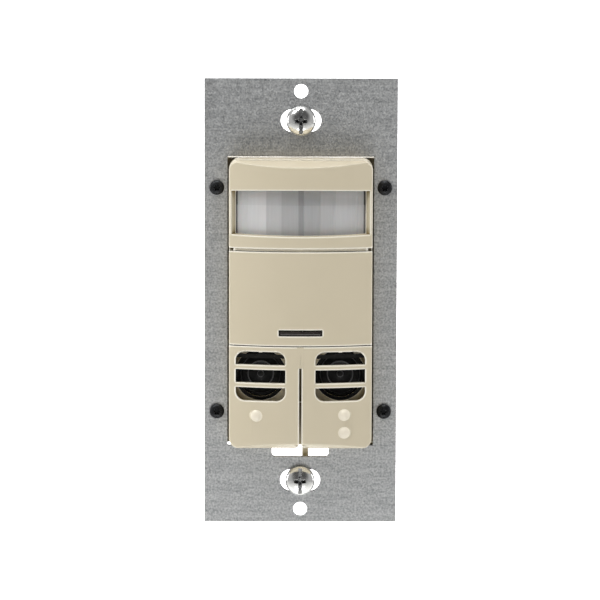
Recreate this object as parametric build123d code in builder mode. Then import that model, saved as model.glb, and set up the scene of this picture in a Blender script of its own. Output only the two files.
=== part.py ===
from build123d import *
import math
import os

os.makedirs("parts", exist_ok=True)

# A wall switch with a motion sensor, a removable control cover and two press buttons.
# Lengths are in millimetres and angles in degrees. X points right, the face looks along -Y, Z is up.
# The origin lies midway between the two box screws, on the rear face of the strap.

# Overruns and fits used by every piece
cut_overrun = 5.0
running_gap = 0.05
loose_gap = 0.1
open_gap = 0.3

# Mounting strap, a flat zinc-plated stamping
strap_width = 44.4
strap_height = 102.8
strap_thickness = 1.3
strap_opening_width = 33.6
strap_opening_height = 66.9
notch_width = 13.1
notch_depth = 2.65
notch_corner_radius = 0.8
box_screw_spacing = 83.34
plate_screw_spacing = 96.84
plate_hole_radius = 1.6
slot_length = 9.3
slot_height = 5.2

# Box screws that hold the strap to the wall box, with a thin neck that the washer sits on
box_thread_radius = 1.75
box_neck_radius = 1.4
box_screw_length = 25.4
box_tip_chamfer = 0.6
box_head_radius = 3.45
box_head_height = 2.1
box_head_dome = 1.3
box_slot_width = 0.85
box_slot_depth = 0.8
box_cross_length = 3.3
box_cross_width = 0.95
box_cross_depth = 1.5
retainer_radius = 3.3
retainer_thickness = 0.8

# Screws that clamp the two housing halves to the strap
housing_screw_reach = 2.87
housing_screw_top = 26.3
housing_screw_bottom = -25.5
housing_thread_radius = 1.1
housing_screw_length = 12.0
housing_head_radius = 1.7
housing_head_height = 1.1
housing_head_dome = 0.5
lobe_count = 6
lobe_circle_radius = 0.58
lobe_radius = 0.24
lobe_core_radius = 0.56
lobe_depth = 0.7

# Bowed face shared by the hood, the cover and the buttons
face_width = 32.66
face_top = 32.97
face_bottom = -32.97
face_edge_y = -8.6
face_front_y = -11.8
face_skirt_back_y = -5.1
face_corner_radius = 2.2
face_slope_start_y = -8.76
face_slope_angle = 23.8
face_edge_rounding = 0.35
face_wall = 1.2
face_skirt = 1.03

# Front housing: flange behind the strap, collar through it, window bezel, deck and wells
housing_rim = 4.8
housing_top = 33.2
housing_bottom = -32.9
housing_corner_radius = 1.2
flange_thickness = 2.0
collar_width = 32.8
collar_corner_radius = 2.4
collar_front_y = -4.4
collar_wall = 1.2
brow_front_y = -7.2
deck_thickness = 1.2
rail_bottom = 13.15
shelf_bottom = 12.0
shelf_set_back = 1.5
shelf_back_y = 1.2
bezel_wall = 1.7
bezel_side_wall = 1.3
bezel_roof = 1.4
chamber_floor = 14.1
window_front_half_width = 15.85
window_back_half_width = 14.76
window_ledge_z = 16.38
window_soffit_z = 26.08
window_ledge_angle = 6.8
window_soffit_angle = 4.8
window_back_y = -7.4
finger_width = 1.5
finger_x = 1.18
finger_reach = 0.8
finger_thickness = 1.6

# Lens, its retaining frame and the two swing-in blinders
lens_thickness = 0.6
lens_half_width = 15.0
lens_bottom = 15.55
lens_top = 28.0
retainer_frame_depth = 0.8
retainer_frame_rim = 0.9
blinder_axis_y = -0.9
blinder_radius = 7.6
blinder_wall = 0.6
blinder_bottom = 15.4
blinder_top = 27.4
blinder_arm = 0.55
blinder_arm_gap = 0.1
blinder_rest_angle = 50.0
blinder_sector_angle = 42.0
blinder_lever_angle = 42.0
blinder_lever_reach = 8.6
blinder_lever_width = 1.2
blinder_lever_bottom = 9.9
blinder_hub_radius = 1.7
blinder_pin_radius = 0.75
blinder_pin_seat = 1.5
blinder_pin_proud = 0.3
blinder_boss_radius = 2.0
lever_slot_back_y = -5.7

# Control cover with its dark indicator window
cover_top = 12.4
cover_bottom = -9.06
indicator_z = -6.13
indicator_width = 10.0
indicator_height = 1.45
indicator_set_back = 0.45
indicator_flange = 0.7
indicator_flange_depth = 0.6
tongue_width = 2.6
tongue_thickness = 0.8
tongue_x = 13.6
tongue_high_z = 10.3
tongue_low_z = -4.5
tongue_back_y = -3.3

# Push buttons with their grilles and raised dots
button_top = -9.3
button_seam = 0.06
slit_width = 0.57
slit_top = -14.18
slit_lip_depth = 2.4
slit_lip_width = 0.9
slit_flare = 0.55
grille_x = 9.1
grille_z = -16.15
grille_size = 11.36
grille_corner_radius = 2.1
slat_height = 1.03
slat_count = 2
dot_x = 10.0
single_dot_z = -25.25
upper_dot_z = -25.0
lower_dot_z = -29.1
dot_radius = 1.33
dot_rise = 0.5
hinge_y = -6.9
hinge_z = -10.1
hinge_pin_radius = 0.55
hinge_rib_width = 0.8
hinge_ear_width = 1.2
hinge_ear_wall = 0.5
hinge_mouth_share = 0.85
post_radius = 1.4
switch_z = -27.0

# Ultrasonic transducers in their rubber sleeves, and the wells they look out of
well_lip_radius = 5.9
well_radius = 5.2
well_wall = 0.75
well_deck_y = -7.4
well_back_y = -2.4
well_deck_top = -11.1
well_deck_bottom = -22.6
well_deck_half_width = 15.1
sleeve_wall = 0.5
sleeve_front_y = -5.9
sleeve_back_y = -1.2
transducer_front_y = -5.5
transducer_ring_radius = 3.06
transducer_ring_width = 0.3
transducer_ring_height = 0.2
transducer_hub_radius = 0.8

# Sensor board behind the deck, with what it carries
board_front_y = 2.2
board_thickness = 1.6
board_boss_gap = 0.97
board_top = 31.0
board_bottom = -30.6
board_post_inset = 2.1
board_post_top_z = 29.4
board_post_bottom_z = -28.9
board_post_radius = 1.15
board_screw_radius = 0.7
board_screw_length = 5.0
board_screw_head_radius = 1.4
board_screw_head_height = 1.1
pir_z = 21.3
pir_base_radius = 4.6
pir_base_thickness = 0.6
pir_can_radius = 4.1
pir_can_height = 3.4
pir_spacer_height = 1.4
pir_filter_width = 4.4
pir_filter_height = 3.4
pir_filter_depth = 0.5
led_width = 3.0
led_depth = 1.4
led_height = 1.0
led_spacing = 4.4
light_sensor_size = 2.0
guide_width = 9.2
guide_height = 1.3
guide_flange = 0.8
guide_flange_depth = 0.8
guide_front_gap = 0.25
trimmer_size = 6.2
trimmer_height = 5.2
trimmer_rotor_radius = 2.4
trimmer_rotor_rise = 1.1
trimmer_pocket_depth = 1.0
trimmer_slot_width = 0.8
trimmer_slot_depth = 0.7
trimmer_spacing = 7.6
trimmer_count = 4
trimmer_z = 5.5
dip_width = 11.4
dip_height = 5.6
dip_depth = 5.2
dip_z = -1.3
dip_pitch = 2.54
dip_count = 4
dip_slider_width = 1.2
dip_slider_height = 1.1
dip_slider_travel = 1.3
dip_slider_rise = 1.1
dip_slot_depth = 0.8
tact_size = 6.0
tact_height = 3.4
tact_plunger_radius = 1.7
tact_plunger_rise = 0.9
tact_plunger_depth = 0.8
tact_travel = 0.4
controller_size = 10.0
controller_thickness = 1.4
controller_z = 4.0

# Power board in the rear housing, with its relays and supply parts
power_board_y = 25.0
power_board_gap = 0.4
power_board_top = 30.9
power_board_bottom = -30.7
power_post_inset = 2.4
power_post_top_z = 28.3
power_post_bottom_z = -28.1
power_post_radius = 1.9
power_screw_head_radius = 1.6
power_screw_head_height = 1.1
power_screw_length = 3.6
power_screw_radius = 0.8
relay_x = 8.7
relay_z = 0.4
relay_width = 12.6
relay_height = 28.4
relay_depth = 15.4
relay_wall = 0.8
relay_base_thickness = 1.6
yoke_thickness = 1.0
yoke_width = 8.0
yoke_height = 18.0
yoke_gap = 0.4
yoke_base_gap = 0.2
coil_radius = 3.6
bobbin_radius = 4.3
bobbin_flange = 0.8
core_radius = 1.4
armature_length = 9.5
armature_thickness = 0.9
armature_gap = 0.45
armature_tail = 0.5
armature_leaf = 0.3
armature_leaf_reach = 1.6
contact_radius = 0.8
contact_height = 0.5
contact_blade = 0.8
contact_blade_height = 1.5
contact_rest_gap = 0.75
link_pin_count = 6
link_pitch = 2.54
link_z = -19.6
link_pin_width = 0.64
link_body_depth = 2.5
link_body_height = 2.5
link_socket_depth = 8.5
link_pin_free_length = 4.0
film_width = 18.0
film_height = 7.0
film_depth = 12.5
film_x = -5.8
film_gap = 2.7
bulk_radius = 4.0
bulk_length = 12.5
bulk_x = 10.4
bulk_gap = 2.2
varistor_radius = 5.0
varistor_thickness = 3.6
varistor_x = -9.0
varistor_z = -25.6
rectifier_width = 8.0
rectifier_height = 6.0
rectifier_depth = 2.8
rectifier_x = 5.6
rectifier_z = -25.8
lead_length = 0.8
lead_radius = 0.4

# Rear housing with its lead outlet
rear_wall = 1.8
rear_back_y = 31.0
rear_corner_radius = 2.0
rear_edge_rounding = 1.0
boss_radius = 1.9
boss_back_y = 13.0
outlet_width = 20.0
outlet_height = 7.0
outlet_z = 0.0
grommet_wall = 1.1
grommet_flange = 1.2
grommet_flange_thickness = 1.1

# Sizes worked out from the values above
strap_front_y = -strap_thickness
face_half_width = face_width / 2
face_height = face_top - face_bottom
face_bow = face_edge_y - face_front_y
bow_radius = (face_half_width**2 + face_bow**2) / (2 * face_bow)
bow_centre_y = face_front_y + bow_radius
skirt_inside = face_half_width - face_skirt
housing_width = collar_width + 2 * housing_rim
housing_height = housing_top - housing_bottom
housing_centre_z = (housing_top + housing_bottom) / 2
deck_back_y = collar_front_y + deck_thickness
chamber_half_width = collar_width / 2 - bezel_side_wall
chamber_top = face_top - bezel_roof
board_back_y = board_front_y + board_thickness
power_board_back_y = power_board_y + board_thickness
rear_inside_y = rear_back_y - rear_wall
half_housing_screw = collar_width / 2 + housing_screw_reach
board_half_width = half_housing_screw - boss_radius - board_boss_gap
board_post_x = board_half_width - board_post_inset
power_board_half_width = housing_width / 2 - rear_wall - power_board_gap
power_post_x = power_board_half_width - power_post_inset
relay_top = relay_z + relay_height / 2
film_z = relay_top + film_gap + film_height / 2
bulk_z = relay_top + bulk_gap + bulk_radius
housing_screw_places = [
    (side * half_housing_screw, height)
    for side in (-1, 1)
    for height in (housing_screw_bottom, housing_screw_top)
]
box_screw_places = [(0, box_screw_spacing / 2), (0, -box_screw_spacing / 2)]
plate_screw_places = [(0, plate_screw_spacing / 2), (0, -plate_screw_spacing / 2)]
grille_places = {"left": (-grille_x, grille_z), "right": (grille_x, grille_z)}
side_signs = {"left": -1, "right": 1}
housing_hole_radius = housing_thread_radius + loose_gap


def wall_plane(depth):
    """Plane parallel to the wall at this depth, with its normal towards the room."""
    return Plane.XZ.offset(-depth)


def bow_y(x, inset):
    """Depth of the bowed face at x, set back square to the face by inset."""
    return bow_centre_y - math.sqrt((bow_radius - inset) ** 2 - x**2)


def bowed_block(span, inset, back_y, heights, mode=Mode.ADD):
    """Add or cut a block whose front follows the bowed face between two heights."""
    left, right = span
    middle = (left + right) / 2
    front_left = (left, bow_y(left, inset))
    front_middle = (middle, bow_y(middle, inset))
    front_right = (right, bow_y(right, inset))
    with BuildSketch(Plane.XY.offset(min(heights))) as plan:
        with BuildLine():
            ThreePointArc(front_left, front_middle, front_right)
            Polyline(front_right, (right, back_y), (left, back_y), front_left)
        make_face()
    extrude(to_extrude=plan.sketch, amount=abs(heights[1] - heights[0]), mode=mode)


def bowed_sheet(span, insets, heights, mode=Mode.ADD):
    """Add or cut a sheet of even thickness that follows the bowed face."""
    left, right = span
    middle = (left + right) / 2
    near, far = insets
    with BuildSketch(Plane.XY.offset(min(heights))) as plan:
        with BuildLine():
            front_left = (left, bow_y(left, near))
            front_right = (right, bow_y(right, near))
            back_left = (left, bow_y(left, far))
            back_right = (right, bow_y(right, far))
            ThreePointArc(front_left, (middle, bow_y(middle, near)), front_right)
            Line(front_right, back_right)
            ThreePointArc(back_right, (middle, bow_y(middle, far)), back_left)
            Line(back_left, front_left)
        make_face()
    extrude(to_extrude=plan.sketch, amount=abs(heights[1] - heights[0]), mode=mode)


def block(x_range, y_range, z_range, mode=Mode.ADD):
    """Add or cut a box given by its lowest and highest coordinates."""
    with BuildSketch(wall_plane(max(y_range))) as outline:
        with Locations(((x_range[0] + x_range[1]) / 2, (z_range[0] + z_range[1]) / 2)):
            Rectangle(abs(x_range[1] - x_range[0]), abs(z_range[1] - z_range[0]))
    extrude(to_extrude=outline.sketch, amount=abs(y_range[1] - y_range[0]), mode=mode)


def crosswise(place, radius, x_range, mode=Mode.ADD):
    """Add or cut a round rod or hole that runs from side to side at a (y, z) place."""
    with BuildSketch(Plane.YZ.offset(min(x_range))) as outline:
        with Locations(place):
            Circle(radius)
    extrude(to_extrude=outline.sketch, amount=abs(x_range[1] - x_range[0]), mode=mode)


def disc(place, radius, y_range, mode=Mode.ADD):
    """Add or cut a round rod or hole that runs front to back at a place on the wall plane."""
    with BuildSketch(wall_plane(max(y_range))) as outline:
        with Locations(place):
            Circle(radius)
    extrude(to_extrude=outline.sketch, amount=abs(y_range[1] - y_range[0]), mode=mode)


def upright(place, radius, z_range, mode=Mode.ADD):
    """Add or cut a round rod or hole that stands upright at a place on the floor plan."""
    with BuildSketch(Plane.XY.offset(min(z_range))) as outline:
        with Locations(place):
            Circle(radius)
    extrude(to_extrude=outline.sketch, amount=abs(z_range[1] - z_range[0]), mode=mode)


def save(piece, name):
    """Label a finished piece and write it as one STEP file."""
    piece.part.label = name
    export_step(piece.part, f"parts/{name}.step")


# Strap
with BuildPart() as mounting_strap:
    with BuildSketch(wall_plane(0)):
        Rectangle(strap_width, strap_height)
        Rectangle(strap_opening_width, strap_opening_height, mode=Mode.SUBTRACT)
        with Locations((0, -strap_opening_height / 2)):
            Rectangle(notch_width, 2 * notch_depth, mode=Mode.SUBTRACT)
        with Locations(*box_screw_places):
            SlotOverall(slot_length, slot_height, mode=Mode.SUBTRACT)
        with Locations(*plate_screw_places):
            Circle(plate_hole_radius, mode=Mode.SUBTRACT)
        with Locations(*housing_screw_places):
            Circle(housing_hole_radius, mode=Mode.SUBTRACT)
    extrude(amount=strap_thickness)
    notch_bottom = -strap_opening_height / 2 - notch_depth
    notch_edges = mounting_strap.edges().filter_by(Axis.Y).filter_by_position(
        Axis.Z, notch_bottom - loose_gap, notch_bottom + loose_gap
    )
    fillet(notch_edges, notch_corner_radius)
save(mounting_strap, "mounting_strap")

# Box screws and the fibre washers that keep them on the strap
with BuildPart() as mounting_screws:
    with BuildSketch(wall_plane(strap_front_y)):
        with Locations(*box_screw_places):
            Circle(box_head_radius)
    extrude(amount=box_head_height)
    head_fronts = mounting_screws.faces().sort_by(Axis.Y)[: len(box_screw_places)]
    fillet(head_fronts.edges(), box_head_dome)
    head_front_y = strap_front_y - box_head_height
    neck_back_y = retainer_thickness + open_gap
    for place_x, place_z in box_screw_places:
        disc((place_x, place_z), box_neck_radius, (strap_front_y, neck_back_y))
        disc((place_x, place_z), box_thread_radius, (neck_back_y, strap_front_y + box_screw_length))
        block(
            (-box_slot_width / 2, box_slot_width / 2),
            (head_front_y, head_front_y + box_slot_depth),
            (place_z - box_head_radius, place_z + box_head_radius),
            mode=Mode.SUBTRACT,
        )
        for half_width, half_height in (
            (box_cross_length / 2, box_cross_width / 2),
            (box_cross_width / 2, box_cross_length / 2),
        ):
            block(
                (-half_width, half_width),
                (head_front_y, head_front_y + box_cross_depth),
                (place_z - half_height, place_z + half_height),
                mode=Mode.SUBTRACT,
            )
    tip_faces = mounting_screws.faces().sort_by(Axis.Y)[-len(box_screw_places) :]
    chamfer(tip_faces.edges(), box_tip_chamfer)
save(mounting_screws, "mounting_screws")

with BuildPart() as screw_retainers:
    with BuildSketch(wall_plane(retainer_thickness)):
        with Locations(*box_screw_places):
            Circle(retainer_radius)
            Circle(box_neck_radius + running_gap, mode=Mode.SUBTRACT)
    extrude(amount=retainer_thickness)
save(screw_retainers, "screw_retainers")

# Housing screws with a six-lobe recess
with BuildPart() as housing_screws:
    with BuildSketch(wall_plane(strap_front_y)):
        with Locations(*housing_screw_places):
            Circle(housing_head_radius)
    extrude(amount=housing_head_height)
    head_fronts = housing_screws.faces().sort_by(Axis.Y)[: len(housing_screw_places)]
    fillet(head_fronts.edges(), housing_head_dome)
    screw_front_y = strap_front_y - housing_head_height
    with BuildSketch(wall_plane(screw_front_y + lobe_depth)):
        with Locations(*housing_screw_places):
            Circle(lobe_core_radius)
            with PolarLocations(lobe_circle_radius, lobe_count):
                Circle(lobe_radius)
    extrude(amount=lobe_depth, mode=Mode.SUBTRACT)
    with BuildSketch(wall_plane(strap_front_y + housing_screw_length)):
        with Locations(*housing_screw_places):
            Circle(housing_thread_radius)
    extrude(amount=housing_screw_length)
save(housing_screws, "housing_screws")

# Outer form of the face: bowed from side to side, rounded at its corners, sloped at top and bottom
with BuildPart() as face_form:
    bowed_block((-face_half_width, face_half_width), 0, collar_front_y, (face_bottom, face_top))
    with BuildSketch(wall_plane(collar_front_y)):
        RectangleRounded(face_width, face_height, face_corner_radius)
    extrude(amount=collar_front_y - face_front_y + cut_overrun, mode=Mode.INTERSECT)
    slope_run = face_slope_start_y - face_front_y + cut_overrun
    slope_drop = slope_run * math.tan(math.radians(face_slope_angle))
    with BuildSketch(Plane.YZ):
        for top_z, down in ((face_top, -1), (face_bottom, 1)):
            with BuildLine():
                Polyline(
                    (face_slope_start_y, top_z),
                    (face_slope_start_y - slope_run, top_z + down * slope_drop),
                    (face_slope_start_y - slope_run, top_z - down * cut_overrun),
                    (face_slope_start_y, top_z - down * cut_overrun),
                    close=True,
                )
            make_face()
    extrude(amount=face_width, both=True, mode=Mode.SUBTRACT)
    bowed_front = face_form.faces().filter_by(GeomType.CYLINDER).sort_by(SortBy.AREA)[-1]
    fillet(bowed_front.edges(), face_edge_rounding)

# Front housing
with BuildPart() as window_cutter:
    with BuildSketch(Plane.XY.offset(chamber_floor)):
        window_front_y = bow_y(window_front_half_width, 0)
        far_y = face_front_y - cut_overrun
        with BuildLine():
            Polyline(
                (-window_back_half_width, deck_back_y),
                (-window_back_half_width, window_back_y),
                (-window_front_half_width, window_front_y),
                (-window_front_half_width, far_y),
                (window_front_half_width, far_y),
                (window_front_half_width, window_front_y),
                (window_back_half_width, window_back_y),
                (window_back_half_width, deck_back_y),
                close=True,
            )
        make_face()
    extrude(amount=face_top - chamber_floor)
    with BuildSketch(Plane.YZ):
        reach = window_back_y - far_y
        with BuildLine():
            Polyline(
                (deck_back_y, window_ledge_z),
                (window_back_y, window_ledge_z),
                (far_y, window_ledge_z - reach * math.tan(math.radians(window_ledge_angle))),
                (far_y, window_soffit_z + reach * math.tan(math.radians(window_soffit_angle))),
                (window_back_y, window_soffit_z),
                (deck_back_y, window_soffit_z),
                close=True,
            )
        make_face()
    extrude(amount=face_width, both=True, mode=Mode.INTERSECT)

collar_half = collar_width / 2
inner_half = collar_half - collar_wall
well_tube_radius = well_radius + well_wall
well_floor_y = well_deck_y + deck_thickness
ear_half_height = hinge_pin_radius + running_gap + hinge_ear_wall
ear_front_y = hinge_y - ear_half_height
hinge_ear_places = [
    side * place
    for side in side_signs.values()
    for place in (grille_x - skirt_inside / 4, grille_x + skirt_inside / 4)
]
post_hole_radius = post_radius + open_gap
tongue_places = [
    (side * tongue_x, height) for side in side_signs.values() for height in (tongue_low_z, tongue_high_z)
]
board_post_places = [
    (side * board_post_x, height)
    for side in side_signs.values()
    for height in (board_post_bottom_z, board_post_top_z)
]
trimmer_places = [
    ((index - (trimmer_count - 1) / 2) * trimmer_spacing, trimmer_z) for index in range(trimmer_count)
]
dip_places = [(index - (dip_count - 1) / 2) * dip_pitch for index in range(dip_count)]
lever_inner_radius = blinder_lever_reach - blinder_lever_width
with BuildPart() as front_housing:
    # Flange behind the strap, collar through it and the brow above the window
    with BuildSketch(wall_plane(flange_thickness)):
        with Locations((0, housing_centre_z)):
            RectangleRounded(housing_width, housing_height, housing_corner_radius)
    extrude(amount=flange_thickness)
    with BuildSketch(wall_plane(0)):
        with Locations((0, housing_centre_z)):
            RectangleRounded(collar_width, housing_height, collar_corner_radius)
    extrude(amount=-collar_front_y)
    with BuildSketch(wall_plane(collar_front_y)):
        with Locations((0, housing_centre_z)):
            RectangleRounded(collar_width, housing_height, collar_corner_radius)
        with Locations((0, rail_bottom - housing_height / 2)):
            Rectangle(housing_width, housing_height, mode=Mode.SUBTRACT)
    extrude(amount=collar_front_y - brow_front_y)
    block(
        (-inner_half, inner_half),
        (deck_back_y, flange_thickness + cut_overrun),
        (housing_bottom + collar_wall, housing_top - collar_wall),
        mode=Mode.SUBTRACT,
    )
    # Window bezel, its shelf and its chamber
    add(face_form.part.split(Plane.XY.offset(rail_bottom), keep=Keep.TOP))
    bowed_block((-skirt_inside, skirt_inside), shelf_set_back, shelf_back_y, (shelf_bottom, chamber_floor))
    bowed_block(
        (-chamber_half_width, chamber_half_width),
        bezel_wall,
        flange_thickness + cut_overrun,
        (chamber_floor, chamber_top),
        mode=Mode.SUBTRACT,
    )
    add(window_cutter.part, mode=Mode.SUBTRACT)
    # Raised deck with the two transducer wells
    block(
        (-well_deck_half_width, well_deck_half_width),
        (well_deck_y, collar_front_y),
        (well_deck_bottom, well_deck_top),
    )
    block(
        (-well_deck_half_width + deck_thickness, well_deck_half_width - deck_thickness),
        (well_floor_y, deck_back_y + cut_overrun),
        (well_deck_bottom + deck_thickness, well_deck_top - deck_thickness),
        mode=Mode.SUBTRACT,
    )
    for place in grille_places.values():
        disc(place, well_tube_radius, (well_floor_y, well_back_y))
        disc(place, well_radius, (well_deck_y - cut_overrun, well_back_y + cut_overrun), mode=Mode.SUBTRACT)
        for depth, radius in ((well_floor_y, well_radius), (well_deck_y, well_lip_radius)):
            with BuildSketch(wall_plane(depth)):
                with Locations(place):
                    Circle(radius)
        loft(mode=Mode.SUBTRACT)
    # Hinge ears for the buttons
    for ear_x in hinge_ear_places:
        block(
            (ear_x - hinge_ear_width / 2, ear_x + hinge_ear_width / 2),
            (ear_front_y, deck_back_y),
            (hinge_z - ear_half_height, hinge_z + ear_half_height),
        )
    crosswise(
        (hinge_y, hinge_z),
        hinge_pin_radius + running_gap,
        (-skirt_inside, skirt_inside),
        mode=Mode.SUBTRACT,
    )
    mouth = hinge_mouth_share * hinge_pin_radius
    block(
        (-skirt_inside, skirt_inside),
        (ear_front_y - cut_overrun, hinge_y),
        (hinge_z - mouth, hinge_z + mouth),
        mode=Mode.SUBTRACT,
    )
    # Openings in the deck for the controls, the light guide, the cover's tongues and the buttons' posts
    deck_cut = (collar_front_y - cut_overrun, deck_back_y + loose_gap)
    for place in trimmer_places:
        disc(place, trimmer_rotor_radius + open_gap, deck_cut, mode=Mode.SUBTRACT)
    dip_opening_half = dip_count * dip_pitch / 2
    dip_opening_height = dip_slider_height + dip_slider_travel + 2 * open_gap
    block(
        (-dip_opening_half, dip_opening_half),
        deck_cut,
        (dip_z - dip_opening_height / 2, dip_z + dip_opening_height / 2),
        mode=Mode.SUBTRACT,
    )
    block(
        (-guide_width / 2 - loose_gap, guide_width / 2 + loose_gap),
        deck_cut,
        (indicator_z - guide_height / 2 - loose_gap, indicator_z + guide_height / 2 + loose_gap),
        mode=Mode.SUBTRACT,
    )
    for tongue_side_x, tongue_z in tongue_places:
        block(
            (
                tongue_side_x - tongue_thickness / 2 - loose_gap,
                tongue_side_x + tongue_thickness / 2 + loose_gap,
            ),
            deck_cut,
            (tongue_z - tongue_width / 2 - loose_gap, tongue_z + tongue_width / 2 + loose_gap),
            mode=Mode.SUBTRACT,
        )
    for side in side_signs.values():
        disc((side * dot_x, switch_z), post_hole_radius, deck_cut, mode=Mode.SUBTRACT)
    # Arc slot in the shelf for the blinder levers, and the blinders' two pivots
    with BuildSketch(Plane.XY.offset(shelf_bottom - loose_gap)):
        with Locations((0, blinder_axis_y)):
            Circle(blinder_lever_reach + open_gap)
            Circle(lever_inner_radius - open_gap, mode=Mode.SUBTRACT)
        with Locations((0, lever_slot_back_y - strap_width / 2)):
            Rectangle(strap_width, strap_width, mode=Mode.INTERSECT)
    extrude(amount=chamber_floor - shelf_bottom + 2 * loose_gap, mode=Mode.SUBTRACT)
    upper_stack_top = blinder_top + 2 * (blinder_arm + blinder_arm_gap)
    upright((0, blinder_axis_y), blinder_boss_radius, (upper_stack_top, housing_top - collar_wall / 2))
    for seat_range in (
        (chamber_floor - blinder_pin_seat, chamber_floor),
        (upper_stack_top, upper_stack_top + blinder_pin_seat),
    ):
        upright((0, blinder_axis_y), blinder_pin_radius + running_gap, seat_range, mode=Mode.SUBTRACT)
    # Posts for the sensor board, holes for the housing screws and the finger in the strap's notch
    for place_x, place_z in board_post_places:
        disc((place_x, place_z), board_post_radius, (collar_front_y, board_front_y))
        web_inner = place_x
        web_outer = math.copysign(inner_half + loose_gap, place_x)
        block(
            (min(web_inner, web_outer), max(web_inner, web_outer)),
            (collar_front_y, 0),
            (place_z - board_post_radius / 2, place_z + board_post_radius / 2),
        )
        disc(
            (place_x, place_z),
            board_screw_radius + running_gap,
            (board_back_y - board_screw_length - open_gap, board_front_y + loose_gap),
            mode=Mode.SUBTRACT,
        )
    for place in housing_screw_places:
        disc(place, housing_hole_radius, (-loose_gap, flange_thickness + loose_gap), mode=Mode.SUBTRACT)
    block(
        (finger_x - finger_width / 2, finger_x + finger_width / 2),
        (flange_thickness - finger_thickness, flange_thickness),
        (notch_bottom - finger_reach, housing_bottom + collar_wall),
    )
save(front_housing, "front_housing")

# Lens in the window and the frame that holds it there
lens_back_inset = bezel_wall + running_gap + lens_thickness
with BuildPart() as fresnel_lens:
    bowed_sheet(
        (-lens_half_width, lens_half_width),
        (bezel_wall + running_gap, lens_back_inset),
        (lens_bottom, lens_top),
    )
save(fresnel_lens, "fresnel_lens")

with BuildPart() as lens_retainer:
    frame_insets = (lens_back_inset + running_gap, lens_back_inset + running_gap + retainer_frame_depth)
    bowed_sheet((-lens_half_width, lens_half_width), frame_insets, (lens_bottom, lens_top))
    block(
        (-lens_half_width + retainer_frame_rim, lens_half_width - retainer_frame_rim),
        (face_front_y, 0),
        (lens_bottom + retainer_frame_rim, lens_top - retainer_frame_rim),
        mode=Mode.SUBTRACT,
    )
save(lens_retainer, "lens_retainer")


def polar(side, radius, angle):
    """Plan place at this radius from the blinder axis, at an angle from straight ahead."""
    turn = math.radians(angle)
    return (side * radius * math.sin(turn), blinder_axis_y - radius * math.cos(turn))


def build_blinder(name, lower_arm, upper_arm):
    """One swing-in shutter with an arm above, an arm below and a finger lever."""
    side = side_signs[name]
    first = blinder_rest_angle
    last = blinder_rest_angle + blinder_sector_angle
    middle = (first + last) / 2
    inner = blinder_radius - blinder_wall
    with BuildPart() as blinder:
        with BuildSketch(Plane.XY.offset(lower_arm)):
            with BuildLine():
                ThreePointArc(
                    polar(side, blinder_radius, first),
                    polar(side, blinder_radius, middle),
                    polar(side, blinder_radius, last),
                )
                Line(polar(side, blinder_radius, last), polar(side, inner, last))
                ThreePointArc(
                    polar(side, inner, last), polar(side, inner, middle), polar(side, inner, first)
                )
                Line(polar(side, inner, first), polar(side, blinder_radius, first))
            make_face()
        extrude(amount=upper_arm + blinder_arm - lower_arm)
        for height in (lower_arm, upper_arm):
            with BuildSketch(Plane.XY.offset(height)):
                with BuildLine():
                    ThreePointArc(
                        polar(side, blinder_radius, first),
                        polar(side, blinder_radius, middle),
                        polar(side, blinder_radius, last),
                    )
                    Polyline(
                        polar(side, blinder_radius, last),
                        (0, blinder_axis_y),
                        polar(side, blinder_radius, first),
                    )
                make_face()
                with Locations((0, blinder_axis_y)):
                    Circle(blinder_hub_radius)
            extrude(amount=blinder_arm)
        lever_turn = side * blinder_lever_angle - 90
        with BuildSketch(Plane.XY.offset(lower_arm)):
            with Locations(polar(side, blinder_lever_reach / 2, blinder_lever_angle)):
                Rectangle(blinder_lever_reach, blinder_lever_width, rotation=lever_turn)
        extrude(amount=blinder_arm)
        tab_middle = blinder_lever_reach - blinder_lever_width / 2
        with BuildSketch(Plane.XY.offset(blinder_lever_bottom)):
            with Locations(polar(side, tab_middle, blinder_lever_angle)):
                Rectangle(blinder_lever_width, blinder_lever_width, rotation=lever_turn)
        extrude(amount=lower_arm + blinder_arm - blinder_lever_bottom)
        upright(
            (0, blinder_axis_y),
            blinder_pin_radius + running_gap,
            (lower_arm - loose_gap, upper_arm + blinder_arm + loose_gap),
            mode=Mode.SUBTRACT,
        )
    save(blinder, f"{name}_blinder")


low_arm = blinder_bottom - 2 * blinder_arm - blinder_arm_gap
build_blinder("left", low_arm, blinder_top + blinder_arm + blinder_arm_gap)
build_blinder("right", low_arm + blinder_arm + blinder_arm_gap, blinder_top)

with BuildPart() as blinder_pins:
    upright(
        (0, blinder_axis_y),
        blinder_pin_radius,
        (chamber_floor - blinder_pin_seat, blinder_bottom + blinder_pin_proud),
    )
    upright(
        (0, blinder_axis_y),
        blinder_pin_radius,
        (blinder_top - blinder_pin_proud, upper_stack_top + blinder_pin_seat),
    )
save(blinder_pins, "blinder_pins")

# Control cover
with BuildPart() as control_cover:
    add(face_form.part)
    block(
        (-face_half_width, face_half_width),
        (face_front_y, face_skirt_back_y),
        (cover_bottom, cover_top),
        mode=Mode.INTERSECT,
    )
    bowed_block(
        (-skirt_inside, skirt_inside),
        face_wall,
        face_skirt_back_y + cut_overrun,
        (cover_bottom - cut_overrun, cover_top + cut_overrun),
        mode=Mode.SUBTRACT,
    )
    block(
        (-indicator_width / 2, indicator_width / 2),
        (face_front_y, face_skirt_back_y),
        (indicator_z - indicator_height / 2, indicator_z + indicator_height / 2),
        mode=Mode.SUBTRACT,
    )
    for tongue_side_x, tongue_z in tongue_places:
        block(
            (tongue_side_x - tongue_thickness / 2, tongue_side_x + tongue_thickness / 2),
            (bow_y(tongue_side_x, face_wall / 2), tongue_back_y),
            (tongue_z - tongue_width / 2, tongue_z + tongue_width / 2),
        )
save(control_cover, "control_cover")

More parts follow.
